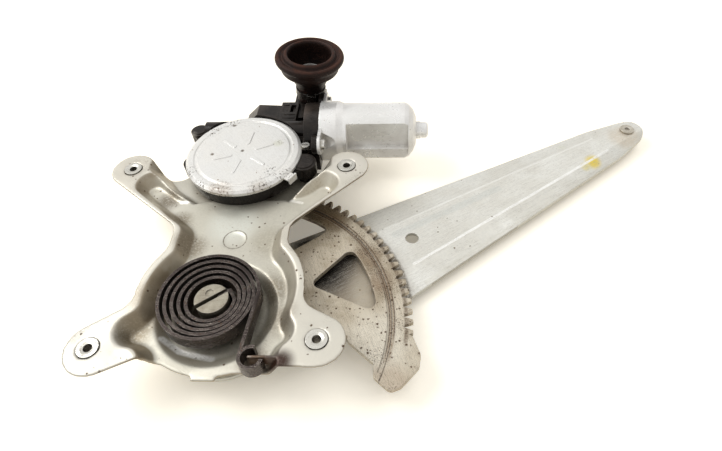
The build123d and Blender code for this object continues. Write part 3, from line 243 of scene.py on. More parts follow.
def sheet_metal(name, tone, cloud, hollow, edge, speck, metal, rough, cloud_scale=60.0, hollow_share=0.85,
                specks=(420.0, 0.3, 0.25), scratches=(70.0, 0.0, 0.3), scratch_tone=None, reach=0.0006,
                hollow_reach=0.012, edge_share=0.7, painted_wall_shade=None, raised=None, marks=(), streaks=(), rings=(),
                flecked=()):
    """Aged sheet metal: clouds, hollows darkened as grime and painted shade, folds lightened as wear and painted
    highlight, painted shade on steep walls, specks, scratches, and stains, painted shade and painted highlights at
    their places.
    """
    finish = bpy.data.materials.new(name)
    finish.use_nodes = True
    tree = finish.node_tree
    shader = tree.nodes["Principled BSDF"]
    shader.inputs["Metallic"].default_value = metal
    folds = effect(tree, "folded_edges", Reach=reach, Hollow_reach=hollow_reach)
    clouds = effect(tree, "cloudy_plating", Scale=cloud_scale)
    dots = effect(tree, "dark_specks", Scale=specks[0], Size=specks[1], Share=specks[2])["Mask"]
    lines = effect(tree, "fine_scratches", Scale=scratches[0], Bearing=scratches[1], Share=scratches[2])["Mask"]
    colour = coat_over(tree, (*tone, 1), clouds["Broad"], (*cloud, 1))
    grain = ramp(tree, clouds["Fine"], 0.35, 0.75, 0.0, 0.35)
    colour = coat_over(tree, colour, grain, (*[0.72 * c for c in tone], 1))
    if raised:
        low, high, high_tone, high_share = raised
        clean = ramp(tree, parts_of(tree, place_of(tree))["Z"], low / 1000, high / 1000)
        colour = coat_over(tree, colour, product(tree, clean, high_share), (*high_tone, 1))
    # Painted shade: steep walls take a darker tone, fully on walls facing +x and a quarter as much on walls facing -x.
    if painted_wall_shade:
        wall_shade_tone, wall_shade_share = painted_wall_shade
        facing = parts_of(tree, tree.nodes.new("ShaderNodeNewGeometry").outputs["Normal"])
        level = size_of(tree, facing["Z"])
        shaded_wall = ramp(tree, level, 0.96, 0.70, 0.0, wall_shade_share)
        shaded_wall = product(tree, shaded_wall, ramp(tree, facing["X"], -0.45, 0.35, 0.25, 1.0))
        shaded_wall = product(tree, shaded_wall, ramp(tree, clouds["Broad"], 0.0, 1.0, 1.0, 0.7))
        colour = coat_over(tree, colour, shaded_wall, (*wall_shade_tone, 1))
    if raised and painted_wall_shade:
        cut = ramp(tree, level, 0.75, 0.35)
        colour = coat_over(tree, colour, product(tree, product(tree, cut, clean), 0.75), (*hollow, 1))
    # Hollows found by occlusion are darkened, partly as grime that gathers there and partly as painted shade.
    grime_and_hollow_shade = product(tree, folds["Hollow"], ramp(tree, clouds["Fine"], 0.3, 0.6, 0.7 * hollow_share, hollow_share))
    colour = coat_over(tree, colour, grime_and_hollow_shade, (*hollow, 1))
    colour = lay_marks_and_painted_light(tree, colour, clouds["Fine"], marks, streaks, rings, flecked)
    # Folds and edges are lightened, partly as worn plating and partly as painted highlight.
    bright = product(tree, folds["Edge"], ramp(tree, clouds["Broad"], 0.0, 1.0, edge_share, 0.4 * edge_share))
    colour = coat_over(tree, colour, bright, (*edge, 1))
    colour = coat_over(tree, colour, product(tree, lines, 0.6), (*(scratch_tone or hollow), 1))
    colour = coat_over(tree, colour, dots, (*speck, 1))
    tree.links.new(colour, shader.inputs["Base Color"])
    worn = sum_of(tree, ramp(tree, clouds["Broad"], 0.0, 1.0, rough - 0.06, rough + 0.08), product(tree, grime_and_hollow_shade, 0.25))
    tree.links.new(sum_of(tree, worn, product(tree, dots, 0.3)), shader.inputs["Roughness"])
    height = sum_of(tree, product(tree, clouds["Fine"], 0.5), product(tree, sum_of(tree, dots, lines), -0.5))
    relief = put(tree, "Bump", {"Strength": 0.25, "Distance": 0.0002, "Height": height, "Normal": folds["Normal"]})
    tree.links.new(relief.outputs[0], shader.inputs["Normal"])
    return finish


def dress(names, finish):
    """Gives CAD nodes a finish in place of the plain one they came with."""
    for name in names.split():
        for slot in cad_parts[name].material_slots:
            slot.material = finish


def merged_copy(node, name):
    """A copy of a CAD node's mesh under a new name, its points merged, selected and active."""
    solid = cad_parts[node]
    piece = solid.copy()
    piece.data = solid.data.copy()
    piece.name = name
    bpy.context.scene.collection.objects.link(piece)
    bpy.context.view_layer.objects.active = piece
    piece.select_set(True)
    bpy.ops.object.mode_set(mode="EDIT")
    bpy.ops.mesh.select_all(action="SELECT")
    bpy.ops.mesh.remove_doubles(threshold=0.000002)
    bpy.ops.object.mode_set(mode="OBJECT")
    return piece


pivot_x, pivot_y = 6.5, -110
plate_marks = [
    (-75, 0, 0, 17, (0.58, 0.54, 0.46), 0.8), (75, 0, 0, 17, (0.74, 0.70, 0.62), 0.8),
    (-54, -139.5, 0, 28, (0.58, 0.555, 0.49), 0.95), (-68, -143, 0, 15, (0.44, 0.42, 0.36), 0.75),
    (-80, -141, 0, 13, (0.40, 0.31, 0.21), 0.7), (67, -133.5, 0, 22, (0.62, 0.59, 0.51), 0.9),
    (3, -44, -9, 22, (0.74, 0.75, 0.67), 0.75), (-46, -22, -9, 26, (0.70, 0.67, 0.58), 0.7),
    # The near-black disc round the pivot, last on the next line, is painted shade under and between the spring's
    # turns.
    (58, -18, -9, 22, (0.66, 0.62, 0.52), 0.6), (pivot_x, pivot_y, -9.5, 30, (0.03, 0.022, 0.015), 0.95),
    (36, -96, -6, 16, (0.17, 0.13, 0.08), 0.7), (44, -116, -5, 15, (0.20, 0.15, 0.09), 0.6),
    (-30, -112, -8, 16, (0.25, 0.19, 0.12), 0.6),
    (41, -147.5, -2, 11, (0.035, 0.014, 0.007), 1.0), (50, -146, -3, 10, (0.035, 0.014, 0.007), 1.0),
    (33, -143, -3, 13, (0.12, 0.06, 0.03), 0.9), (-11, -147, -4, 6, (0.04, 0.02, 0.01), 0.9),
    # The four dark brown marks on the next two lines are painted shade on the left walls of the pad, the waist and the
    # lower left channel.
    (-46, -22, -5, 13, (0.11, 0.075, 0.035), 0.8), (-33, -41, -5, 12, (0.15, 0.11, 0.06), 0.75),
    (-20, -64, -6, 14, (0.17, 0.13, 0.08), 0.75), (-36, -126, -5, 13, (0.22, 0.175, 0.11), 0.85),
    (-34, -104, -7, 14, (0.42, 0.35, 0.25), 0.7), (2, -24, -12, 18, (0.36, 0.35, 0.28), 0.6),
    (-24, -8, -9, 14, (0.24, 0.20, 0.14), 0.7), (30, -60, -6, 18, (0.34, 0.30, 0.22), 0.5),
]
# Painted highlights: bright lines along the pad's two front steps and an arc along the ridge in front of the spring
# seat.
plate_painted_highlights = [
    ((-37.0, -25.0, 0), (-18.5, -21.0, 0), 1.5, (0.95, 0.92, 0.84), 0.9),
    ((31.0, -21.8, 0), (46.0, -26.0, 0), 1.6, (0.95, 0.92, 0.84), 0.9),
    ((-21.0, -127.5, 0), (-9.5, -134.5, 0), 2.6, (0.97, 0.95, 0.89), 1.0),
    ((-9.5, -134.5, 0), (9.0, -138.5, 0), 2.6, (0.97, 0.95, 0.89), 1.0),
]
plate_rings = [(6.7, -57.4, 7.4, 0.55, (0.16, 0.13, 0.09), 0.85, -90)]
tray = merged_copy("base_plate", "pressed_tray")
rolled = tray.modifiers.new("rolled", "REMESH")
rolled.mode = "VOXEL"
rolled.voxel_size = 0.00068
rolled.use_smooth_shade = True
bpy.ops.object.modifier_apply(modifier="rolled")
soft_folds = tray.modifiers.new("soft_folds", "SMOOTH")
soft_folds.factor = 0.5
soft_folds.iterations = 14
bpy.ops.object.modifier_apply(modifier="soft_folds")
bpy.ops.object.shade_smooth()
tray.data.materials.clear()
tray.data.materials.append(sheet_metal(
    "zinc_plated_tray", (0.61, 0.58, 0.49), (0.54, 0.515, 0.43), (0.16, 0.115, 0.065), (0.80, 0.76, 0.68),
    (0.10, 0.06, 0.03), 0.5, 0.40, cloud_scale=45.0, specks=(330.0, 0.30, 0.20), scratches=(40.0, 0.6, 0.18),
    painted_wall_shade=((0.28, 0.215, 0.13), 0.88), raised=(-4.5, -1.5, (0.70, 0.66, 0.57), 0.75),
    hollow_share=0.5, reach=0.0012, marks=plate_marks, streaks=plate_painted_highlights, rings=plate_rings))
bpy.ops.object.select_all(action="DESELECT")
dress("base_plate", tray.data.materials[0])
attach(tray, "base")
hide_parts("base_plate")

# Ear nuts: cold formed steel nuts pressed up through the four ears, zinc bright on their rings.
# Their flanges sit under the sheet and their rings stand half a millimetre above it.
dress("ear_nuts", sheet_metal(
    "pressed_nut_steel", (0.66, 0.64, 0.58), (0.52, 0.50, 0.44), (0.025, 0.016, 0.01), (0.92, 0.90, 0.84),
    (0.12, 0.07, 0.04), 0.8, 0.32, cloud_scale=160.0, specks=(900.0, 0.3, 0.25), hollow_reach=0.008, hollow_share=1.0,
    reach=0.0003))

# Pivot: turned steel pin with a slotted head, a sintered bush pressed in the plate, a spring washer below.
# The head is dull, brown at its slot, and polished where a tool has turned it.
dress("pivot_bush", sheet_metal(
    "greasy_bush", (0.08, 0.055, 0.035), (0.05, 0.035, 0.022), (0.02, 0.013, 0.008), (0.22, 0.17, 0.11),
    (0.03, 0.02, 0.012), 0.6, 0.34, cloud_scale=200.0, specks=(900.0, 0.3, 0.35), hollow_reach=0.004))
dress("pivot_pin pivot_washer", sheet_metal(
    "turned_pivot_steel", (0.36, 0.33, 0.26), (0.25, 0.22, 0.17), (0.05, 0.035, 0.02), (0.66, 0.62, 0.53),
    (0.14, 0.09, 0.05), 0.75, 0.38, cloud_scale=180.0, specks=(800.0, 0.3, 0.35), hollow_reach=0.004, reach=0.0004))
dress("shaft_bush rear_bearing front_bearing", sheet_metal(
    "sintered_bronze", (0.42, 0.27, 0.13), (0.34, 0.21, 0.10), (0.08, 0.05, 0.03), (0.62, 0.44, 0.25),
    (0.12, 0.07, 0.03), 0.85, 0.45, cloud_scale=260.0, specks=(1600.0, 0.35, 0.45), hollow_reach=0.004))

# Balance spring: flat steel strip wound in five turns, oil tempered to a grey purple-brown, with rolled edges painted
# much lighter as highlights and the gaps between its turns darkened with painted shade. Its hooked outer end stays on
# the tab and its inner end turns in the pin's slot, so the strip is parted between the last turn and the pin.
spring_finish = sheet_metal(
    "tempered_spring_strip", (0.042, 0.030, 0.026), (0.026, 0.018, 0.015), (0.003, 0.002, 0.0015), (0.46, 0.41, 0.37),
    (0.10, 0.045, 0.02), 0.7, 0.32, cloud_scale=120.0, specks=(700.0, 0.32, 0.3), scratches=(80.0, 0.2, 0.35),
    scratch_tone=(0.30, 0.26, 0.22), hollow_reach=0.006, reach=0.00022, edge_share=0.55)
dress("spiral_spring", spring_finish)
parting_radius = 0.0102
for piece_name, body, kept_side in (("spring_turns", "base", "DIFFERENCE"),
                                    ("spring_inner_end", "lift_arm", "INTERSECT")):
    place = (pivot_x / 1000, pivot_y / 1000, 0)
    bpy.ops.mesh.primitive_cylinder_add(vertices=96, radius=parting_radius, depth=0.05, location=place)
    core = bpy.context.object
    bpy.ops.object.select_all(action="DESELECT")
    strip = merged_copy("spiral_spring", piece_name)
    parting = strip.modifiers.new("parting", "BOOLEAN")
    parting.operation = kept_side
    parting.object = core
    parting.solver = "EXACT"
    bpy.ops.object.modifier_apply(modifier="parting")
    bpy.ops.object.shade_smooth_by_angle(angle=math.radians(30))
    bpy.data.objects.remove(core)
    strip.data.materials.clear()
    strip.data.materials.append(spring_finish)
    bpy.ops.object.select_all(action="DESELECT")
    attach(strip, body)
for piece_name in ("spring_turns", "spring_inner_end"):
    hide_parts("spiral_spring")

# Toothed sector: blanked steel with three windows, riveted to the arm. Its teeth carry old grease,
# and the web is cream where the plating lasts and rusty in the pressed groove below the windows.
sector_marks = [
    (96, -124, -20, 28, (0.74, 0.69, 0.58), 0.8), (104, -147, -20, 15, (0.50, 0.41, 0.31), 0.7),
    # The dark marks at (58, -24) and (68, -34) are painted shadow of the plate on the upper end of the groove.
    (58, -24, -20, 20, (0.13, 0.09, 0.05), 0.9), (90, -64, -20, 14, (0.22, 0.15, 0.085), 0.85),
    (98, -82, -20, 12, (0.26, 0.18, 0.11), 0.8), (47.6, -65.5, -20, 14, (0.66, 0.58, 0.46), 0.6),
    (68, -34, -20, 12, (0.20, 0.14, 0.08), 0.8), (112, -100, -20, 14, (0.70, 0.63, 0.51), 0.6),
]
sector_rings = [
    (pivot_x, pivot_y, 99.3, 3.0, (0.27, 0.19, 0.12), 0.8, -132),
    (pivot_x, pivot_y, 97.9, 0.5, (0.07, 0.045, 0.03), 0.9, -128),
    (pivot_x, pivot_y, 99.3, 0.6, (0.06, 0.04, 0.025), 0.95, -146),
    (pivot_x, pivot_y, 100.8, 0.5, (0.07, 0.045, 0.03), 0.9, -118),
    (pivot_x, pivot_y, 107.6, 1.8, (0.13, 0.085, 0.05), 0.75, -122),
]
sector_flecks = [
    (88, -58, -20, 10, (0.07, 0.045, 0.025)), (96, -74, -20, 10, (0.07, 0.045, 0.025)),
    (102, -90, -20, 8, (0.09, 0.055, 0.03)), (98, -56, -20, 9, (0.06, 0.04, 0.02)),
    (66, -44, -20, 8, (0.10, 0.07, 0.04)), (84, -46, -20, 8, (0.06, 0.04, 0.02)),
    (108, -84, -20, 9, (0.09, 0.06, 0.03)), (112, -112, -20, 8, (0.12, 0.08, 0.05)),
    (98, -132, -20, 9, (0.14, 0.10, 0.07)), (104, -152, -20, 8, (0.12, 0.08, 0.05)),
]
dress("sector_gear", sheet_metal(
    "greasy_sector_steel", (0.61, 0.54, 0.42), (0.42, 0.35, 0.25), (0.06, 0.04, 0.02), (0.78, 0.72, 0.60),
    (0.09, 0.05, 0.025), 0.5, 0.42, cloud_scale=70.0, specks=(380.0, 0.36, 0.5), scratches=(50.0, 1.2, 0.4),
    hollow_reach=0.006, marks=sector_marks, rings=sector_rings, flecked=sector_flecks))

# Lift arm: long flanged channel of zinc plated sheet, almost silver white, with a hole and an eye.
# It is riveted under the sector, and handling has left grey scratches, specks and two paint marks.
# Its creases and flanges carry painted highlights and painted shade, and painted shade lies on it where it shows
# through the sector's windows.
arm_marks = [
    (252.6, 29.1, -26, 8, (0.80, 0.62, 0.10), 1.0), (246, 24, -26, 5, (0.76, 0.66, 0.26), 0.8),
    (233, 48, -24, 6, (0.60, 0.66, 0.42), 0.35), (282, 56, -26, 17, (0.66, 0.56, 0.42), 0.6),
    # Painted shade: from the next mark on, the dark, tan and paler brown marks lie on the arm where it shows through
    # the sector's windows and stand in for the shade under the sector; they turn with the arm.
    (77, -78, -26, 46, (0.30, 0.245, 0.175), 0.95), (86, -80, -26, 12, (0.50, 0.44, 0.34), 0.6),
    (90, -94, -26, 12, (0.50, 0.44, 0.34), 0.8), (59, -67, -26, 33, (0.008, 0.006, 0.004), 1.0),
    (73, -58, -26, 16, (0.02, 0.015, 0.01), 0.95), (46, -29, -28, 18, (0.40, 0.34, 0.26), 0.9),
    (50, -48, -27, 15, (0.01, 0.008, 0.005), 1.0),
]
# Painted light along the arm: two bright lines on its creases are painted highlights, and two broad grey bands on its
# flanges and two thin dark lines along its lower edge are painted shade.
arm_painted_light = [
    ((119.5, -64.5, 0), (265.7, 41.2, 0), 1.3, (0.96, 0.95, 0.91), 0.9),
    ((100.9, -34.6, 0), (257.4, 54.6, 0), 1.1, (0.93, 0.92, 0.87), 0.6),
    ((108, -40, 0), (180, 2, 0), 4.0, (0.60, 0.62, 0.58), 0.5),
    ((128, -76.5, 0), (285, 45, 0), 3.0, (0.66, 0.64, 0.56), 0.55),
    ((131, -77.0, 0), (190, -30.5, 0), 0.9, (0.13, 0.10, 0.06), 0.8),
    ((196, -26.5, 0), (272, 33.5, 0), 0.9, (0.16, 0.12, 0.07), 0.7),
]
dress("lift_arm", sheet_metal(
    "plated_arm_sheet", (0.80, 0.79, 0.73), (0.72, 0.70, 0.63), (0.34, 0.30, 0.23), (0.94, 0.93, 0.89),
    (0.22, 0.17, 0.11), 0.5, 0.36, cloud_scale=30.0, specks=(300.0, 0.22, 0.10), scratches=(30.0, -0.56, 0.38),
    scratch_tone=(0.45, 0.42, 0.36), hollow_share=0.6, painted_wall_shade=((0.52, 0.52, 0.46), 0.7), marks=arm_marks,
    streaks=arm_painted_light, rings=[(pivot_x, pivot_y, 111.5, 3.4, (0.10, 0.07, 0.04), 0.85, -112)]))
dress("arm_rivets tip_stud", sheet_metal(
    "riveted_pin_steel", (0.60, 0.56, 0.48), (0.48, 0.44, 0.36), (0.14, 0.10, 0.06), (0.86, 0.82, 0.74),
    (0.14, 0.09, 0.05), 0.8, 0.36, cloud_scale=180.0, specks=(900.0, 0.3, 0.3), hollow_reach=0.004))

# Gear cover: drawn steel lid with a raised ring and six pressed rays, coated satin white zinc.
# It is clipped over the housing's rim on a rubber seal, and the rim is scuffed to brown in front.
cover_marks = [
    (-7, -27, 3, 12, (0.50, 0.42, 0.33), 0.7), (20, -25, 3, 10, (0.52, 0.45, 0.37), 0.6),
    (1.3, 12.6, 4, 1.7, (0.14, 0.11, 0.08), 1.0), (-10.1, 41.5, 4, 2.4, (0.12, 0.09, 0.06), 1.0),
    (-19.6, 9.4, 4, 1.8, (0.20, 0.16, 0.12), 1.0), (25.5, 20.2, 4, 5, (0.66, 0.66, 0.52), 0.6),
]
cover_flecks = [
    (25, -8, 4, 7, (0.07, 0.055, 0.04)), (-7, -27, 2, 12, (0.16, 0.10, 0.07)), (20, -25, 2, 12, (0.07, 0.05, 0.035)),
    (34, -12, 2, 9, (0.10, 0.07, 0.05)), (-33, -8, 2, 9, (0.09, 0.07, 0.05)), (-22, -20, 2, 7, (0.10, 0.08, 0.06)),
    (-25, 36, 3, 8, (0.16, 0.13, 0.10)), (-12, 46, 3, 8, (0.14, 0.11, 0.08)), (27, 22, 4, 4, (0.20, 0.18, 0.12)),
]
dress("gear_cover", sheet_metal(
    "white_zinc_lid", (0.90, 0.89, 0.85), (0.86, 0.84, 0.79), (0.45, 0.40, 0.32), (0.93, 0.92, 0.89),
    (0.30, 0.22, 0.15), 0.3, 0.34, cloud_scale=40.0, specks=(320.0, 0.2, 0.10), scratches=(45.0, 0.9, 0.36),
    scratch_tone=(0.60, 0.57, 0.52), hollow_share=0.0, hollow_reach=0.002, marks=cover_marks, flecked=cover_flecks))

# Gear housing: one moulding of glass filled black nylon with ribs, lugs and a connector block.
# It hangs from the plate on three screws and is dusty on top and glossy where it is wiped.


def moulded(name, tone, dust, rough, dusty=0.35, grain=900.0, gloss=0.0, marks=(), hollow=(0.006, 0.6)):
    """Moulded plastic or rubber: fine grain, dust on upward faces, paler worn edges, and painted shade in its hollows.
    """
    finish = bpy.data.materials.new(name)
    finish.use_nodes = True
    tree = finish.node_tree
    shader = tree.nodes["Principled BSDF"]
    shader.inputs["Coat Roughness"].default_value = 0.15
    shader.inputs["Coat Weight"].default_value = gloss
    shader.inputs["Specular IOR Level"].default_value = 0.14
    hollow_reach, hollow_share = hollow
    folds = effect(tree, "folded_edges", Reach=0.0005, Hollow_reach=hollow_reach)
    clouds = effect(tree, "cloudy_plating", Scale=85.0)
    dots = effect(tree, "dark_specks", Scale=1100.0, Size=0.3, Share=0.3)["Mask"]
    lines = effect(tree, "fine_scratches", Scale=60.0, Bearing=0.4, Share=0.32)["Mask"]
    upward = parts_of(tree, tree.nodes.new("ShaderNodeNewGeometry").outputs["Normal"])["Z"]
    settled = product(tree, ramp(tree, upward, 0.3, 1.0, 0.15, 1.0), ramp(tree, clouds["Broad"], 0.0, 1.0, 0.4, 1.0))
    settled = product(tree, settled, dusty)
    colour = coat_over(tree, (*tone, 1), settled, (*dust, 1))
    # Painted shade: hollows found by occlusion take a darker copy of the tone.
    colour = coat_over(tree, colour, product(tree, folds["Hollow"], hollow_share), (*[0.4 * c for c in tone], 1))
    for x, y, z, size, mark_colour, strength in marks:
        broken = ramp(tree, clouds["Fine"], 0.32, 0.55, 0.3 * strength, strength)
        colour = coat_over(tree, colour, product(tree, near(tree, x, y, z, size), broken), (*mark_colour, 1))
    colour = coat_over(tree, colour, product(tree, folds["Edge"], 0.3), (*dust, 1))
    colour = coat_over(tree, colour, product(tree, sum_of(tree, lines, dots), 0.25), (*dust, 1))
    tree.links.new(colour, shader.inputs["Base Color"])
    dull = sum_of(tree, product(tree, clouds["Fine"], 0.14), sum_of(tree, settled, rough - 0.07))
    tree.links.new(dull, shader.inputs["Roughness"])
    moulding = put(tree, "TexNoise", {"Vector": place_of(tree), "Scale": grain, "Detail": 3.0})
    height = sum_of(tree, moulding.outputs[0], product(tree, lines, -0.6))
    relief = put(tree, "Bump", {"Strength": 0.3, "Distance": 0.00015, "Height": height, "Normal": folds["Normal"]})
    tree.links.new(relief.outputs[0], shader.inputs["Normal"])
    return finish


housing_marks = [
    (-2, 66, 14, 20, (0.12, 0.095, 0.08), 0.7), (13, 46, 14, 13, (0.11, 0.085, 0.07), 0.8),
    (27, 50, 14, 10, (0.09, 0.065, 0.05), 0.8), (41, 39, 14, 11, (0.12, 0.095, 0.08), 0.8),
    (-42, 34, 2, 6, (0.26, 0.24, 0.21), 0.9),
]
dress("gear_housing thrust_plug", moulded(
    "glass_filled_nylon", (0.008, 0.0065, 0.0055), (0.17, 0.135, 0.11), 0.24, dusty=0.12, gloss=0.1,
    marks=housing_marks))
dress("mount_screws housing_screw yoke_screws terminals", sheet_metal(
    "bright_zinc_steel", (0.72, 0.71, 0.67), (0.60, 0.58, 0.52), (0.12, 0.09, 0.06), (0.95, 0.94, 0.90),
    (0.16, 0.11, 0.07), 0.9, 0.26, cloud_scale=220.0, specks=(1200.0, 0.3, 0.2), hollow_reach=0.004, reach=0.0003))
dress("boot_clip", sheet_metal(
    "dark_clip_steel", (0.035, 0.028, 0.024), (0.02, 0.016, 0.013), (0.008, 0.006, 0.005), (0.62, 0.60, 0.56),
    (0.02, 0.014, 0.01), 0.7, 0.30, cloud_scale=220.0, specks=(1200.0, 0.3, 0.2), hollow_reach=0.004, reach=0.0002))
dress("cover_seal damper_rubbers", moulded(
    "soft_seal_rubber", (0.012, 0.011, 0.010), (0.06, 0.055, 0.05), 0.62, dusty=0.2, grain=1600.0))

# Reduction gear inside the housing: a moulded worm wheel, a steel drive plate with six fingers
# held in rubber dampers, and the hardened pinion that the shaft ring keeps in its bush.
dress("worm_wheel brush_holder", moulded(
    "white_acetal", (0.78, 0.76, 0.70), (0.62, 0.58, 0.48), 0.36, dusty=0.2, grain=700.0))
dress("drive_plate output_pinion shaft_ring armature_shaft thrust_ball", sheet_metal(
    "hardened_gear_steel", (0.44, 0.42, 0.39), (0.34, 0.32, 0.29), (0.06, 0.045, 0.03), (0.74, 0.72, 0.68),
    (0.10, 0.07, 0.05), 0.9, 0.28, cloud_scale=150.0, specks=(900.0, 0.3, 0.25), hollow_reach=0.004, reach=0.0003))

# Motor can: deep drawn plated steel with rolled flats and a bearing cup, screwed to the housing.
# It is satin grey with darker streaks along its length and bright rubs on its edges.
can_marks = [(129, 41, -3, 10, (0.88, 0.88, 0.87), 0.8), (90, 34, 10, 22, (0.80, 0.79, 0.75), 0.6)]
dress("yoke", sheet_metal(
    "drawn_can_steel", (0.93, 0.92, 0.89), (0.82, 0.80, 0.77), (0.30, 0.26, 0.20), (0.96, 0.95, 0.92),
    (0.20, 0.15, 0.10), 0.45, 0.33, cloud_scale=50.0, specks=(420.0, 0.22, 0.08), scratches=(40.0, 0.02, 0.2),
    scratch_tone=(0.38, 0.35, 0.30), hollow_share=0.4, hollow_reach=0.006, marks=can_marks))

# Motor inside the can: two ferrite magnets, a laminated armature with copper windings, a copper
# commutator, and carbon brushes pushed on to it by two small springs in the brush holder.
dress("magnets brushes", moulded(
    "pressed_ferrite_and_carbon", (0.035, 0.033, 0.032), (0.10, 0.095, 0.09), 0.55, dusty=0.2, grain=1400.0))
dress("armature_core", sheet_metal(
    "laminated_iron", (0.30, 0.29, 0.27), (0.22, 0.21, 0.19), (0.05, 0.04, 0.03), (0.52, 0.50, 0.46),
    (0.16, 0.08, 0.04), 0.8, 0.42, cloud_scale=200.0, hollow_reach=0.003))
dress("windings commutator brush_springs", sheet_metal(
    "enamelled_copper", (0.62, 0.26, 0.10), (0.50, 0.19, 0.07), (0.12, 0.04, 0.02), (0.86, 0.50, 0.28),
    (0.16, 0.06, 0.03), 0.9, 0.30, cloud_scale=260.0, scratches=(300.0, 0.0, 0.5), hollow_reach=0.003, reach=0.0003))

# Connector socket: round grey moulding that stands in the housing's block and holds two blades.
dress("connector_socket", moulded(
    "grey_connector_plastic", (0.26, 0.25, 0.24), (0.38, 0.36, 0.32), 0.42, dusty=0.25))

# Connector boot: a horn of black-brown rubber with a rolled outer lip and an inner sealing lip.
# It is moulded in one piece, pushed over the socket, and held at its neck by the sheet clip.
boot_rings = [
    (8.7, 0.2), (10.3, 0.2), (10.35, 4.0), (10.0, 5.2), (10.3, 10.0), (10.9, 13.5), (13.2, 18.6), (16.4, 22.2),
    (17.3, 23.4), (17.6, 25.0), (19.2, 25.6), (20.7, 25.7), (21.5, 27.2), (22.0, 30.6), (23.2, 32.4), (24.8, 33.5),
    (25.4, 35.2), (25.0, 37.0), (23.8, 38.0), (22.2, 37.8), (21.2, 36.5), (20.0, 36.2), (19.2, 37.2), (18.6, 38.7),
    (17.2, 39.5), (16.0, 39.0), (15.5, 36.4), (15.9, 31.0), (15.2, 26.6), (13.8, 22.4), (10.2, 16.6), (9.0, 13.8),
    (8.7, 11.0),
]
last_radius, last_height = boot_rings[0]
bpy.ops.mesh.primitive_circle_add(vertices=64, radius=last_radius / 1000, location=(0, 0, last_height / 1000))
boot = bpy.context.object
boot.name = "horn_boot"
bpy.ops.object.mode_set(mode="EDIT")
bpy.ops.mesh.select_all(action="SELECT")
for radius, height in boot_rings[1:] + boot_rings[:1]:
    bpy.ops.mesh.extrude_region_move(TRANSFORM_OT_translate={"value": (0, 0, (height - last_height) / 1000)})
    wider = radius / last_radius
    bpy.ops.transform.resize(value=(wider, wider, 1), center_override=(0, 0, height / 1000))
    last_radius, last_height = radius, height
bpy.ops.mesh.select_all(action="SELECT")
bpy.ops.mesh.remove_doubles(threshold=0.00001)
bpy.ops.mesh.normals_make_consistent(inside=False)
bpy.ops.object.mode_set(mode="OBJECT")
smoothing = boot.modifiers.new("smoothing", "SUBSURF")
smoothing.levels = smoothing.render_levels = 2
bpy.ops.object.modifier_apply(modifier="smoothing")
bpy.ops.object.shade_smooth()
gear_axis = Matrix.Translation((0.00226, 0.011426, 0)) @ Matrix.Rotation(math.radians(-1), 4, "Z")
socket_place = Matrix.Translation((0.0400, 0.0654, 0.0020)) @ Matrix.Rotation(math.radians(5), 4, "Y")
boot.matrix_world = gear_axis @ socket_place
bpy.ops.object.transform_apply(location=True, rotation=True, scale=True)
boot.data.materials.append(moulded(
    "boot_rubber", (0.009, 0.005, 0.004), (0.20, 0.085, 0.055), 0.46, dusty=0.30, grain=1300.0, hollow=(0.03, 1.0)))
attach(boot, "base")
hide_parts("connector_boot")

# Setting: a white table under the part, wide soft lamps, and the camera where the photograph's was.
# The table's own glow for the camera keeps it white in the open, and is dimmed by occlusion near and under the part,
# which paints a deeper, warm shadow there.


def seen_by_eye(tree):
    """One for rays of the camera and of reflections, nothing for the light that falls on the part."""
    sight = tree.nodes.new("ShaderNodeLightPath").outputs
    seen = put(tree, "Math", {0: sight["Is Camera Ray"], 1: sight["Is Glossy Ray"]}, operation="MAXIMUM")
    return put(tree, "Math", {0: seen.outputs[0], 1: sight["Is Transmission Ray"]}, operation="MAXIMUM").outputs[0]


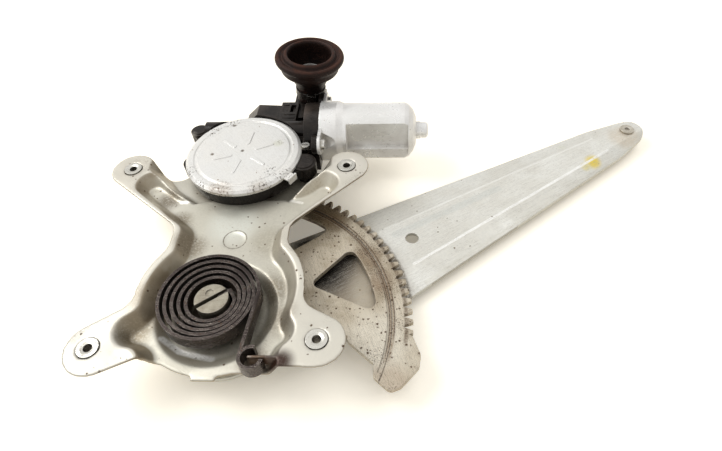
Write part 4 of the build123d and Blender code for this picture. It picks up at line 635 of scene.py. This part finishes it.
shadow_width, shadow_glow, open_glow = 0.07, 0.20, 0.60
air_light, air_seen = 0.44, 1.0
lamps = [
    ((-0.78, 0.12, 1.05), 0.7, 10.5),
    ((0.7, 0.6, 1.2), 0.9, 1.6),
]
part_middle = Vector((0.06, -0.05, 0))
floor_level = cad_box[0][2]
bpy.ops.mesh.primitive_plane_add(size=8, location=(0, 0, floor_level))
table = bpy.context.object
table.name = "white_table"
top = bpy.data.materials.new("white_table_top")
top.use_nodes = True
surface = top.node_tree.nodes["Principled BSDF"]
surface.inputs["Base Color"].default_value = (0.94, 0.88, 0.76, 1)
surface.inputs["Roughness"].default_value = 0.9
surface.inputs["Specular IOR Level"].default_value = 0.0
surface.inputs["Emission Color"].default_value = (1, 0.96, 0.86, 1)
# Painted shadow: the glow falls from open_glow to shadow_glow where the part hides the table from the sky.
open_air = put(top.node_tree, "AmbientOcclusion", {"Distance": shadow_width}, samples=8).outputs["AO"]
glow_with_painted_shadow = ramp(top.node_tree, open_air, 0.25, 0.72, shadow_glow, open_glow)
glow_with_painted_shadow = product(top.node_tree, seen_by_eye(top.node_tree), glow_with_painted_shadow)
top.node_tree.links.new(glow_with_painted_shadow, surface.inputs["Emission Strength"])
table.data.materials.append(top)

world = bpy.data.worlds.new("studio_air")
bpy.context.scene.world = world
world.use_nodes = True
air = world.node_tree
glow = air.nodes["Background"]
glow.inputs["Color"].default_value = (1, 1, 1, 1)
strength = put(air, "MapRange", {"Value": seen_by_eye(air), "To Min": air_light, "To Max": air_seen})
air.links.new(strength.outputs[0], glow.inputs["Strength"])
for place, size, power in lamps:
    bpy.ops.object.light_add(type="AREA", location=place)
    lamp = bpy.context.object
    lamp.data.size = size
    lamp.data.energy = power
    lamp.rotation_euler = (part_middle - Vector(place)).to_track_quat("-Z", "Y").to_euler()

dip, tilt, heading = math.radians(48.228), math.radians(-5.03), math.radians(6.0208)
focal_pixels, picture_width, sensor_width = 538.85, 722, 36
sideways = Vector((1, 0, 0))
upward = Vector((0, math.sin(dip), math.cos(dip)))
ahead = Vector((0, math.cos(dip), -math.sin(dip)))
right = sideways * math.cos(tilt) + upward * math.sin(tilt)
over = upward * math.cos(tilt) - sideways * math.sin(tilt)
turn = Matrix.Rotation(heading, 3, "Z") @ Matrix((right, over, -ahead)).transposed()
bpy.ops.object.camera_add(location=(0.1101, -0.2735, 0.2460))
camera = bpy.context.object
camera.rotation_euler = turn.to_euler()
camera.data.sensor_width = sensor_width
camera.data.lens = sensor_width * focal_pixels / picture_width
camera.data.clip_start = 0.01
bpy.context.scene.camera = camera
bpy.context.scene.view_settings.view_transform = "Standard"
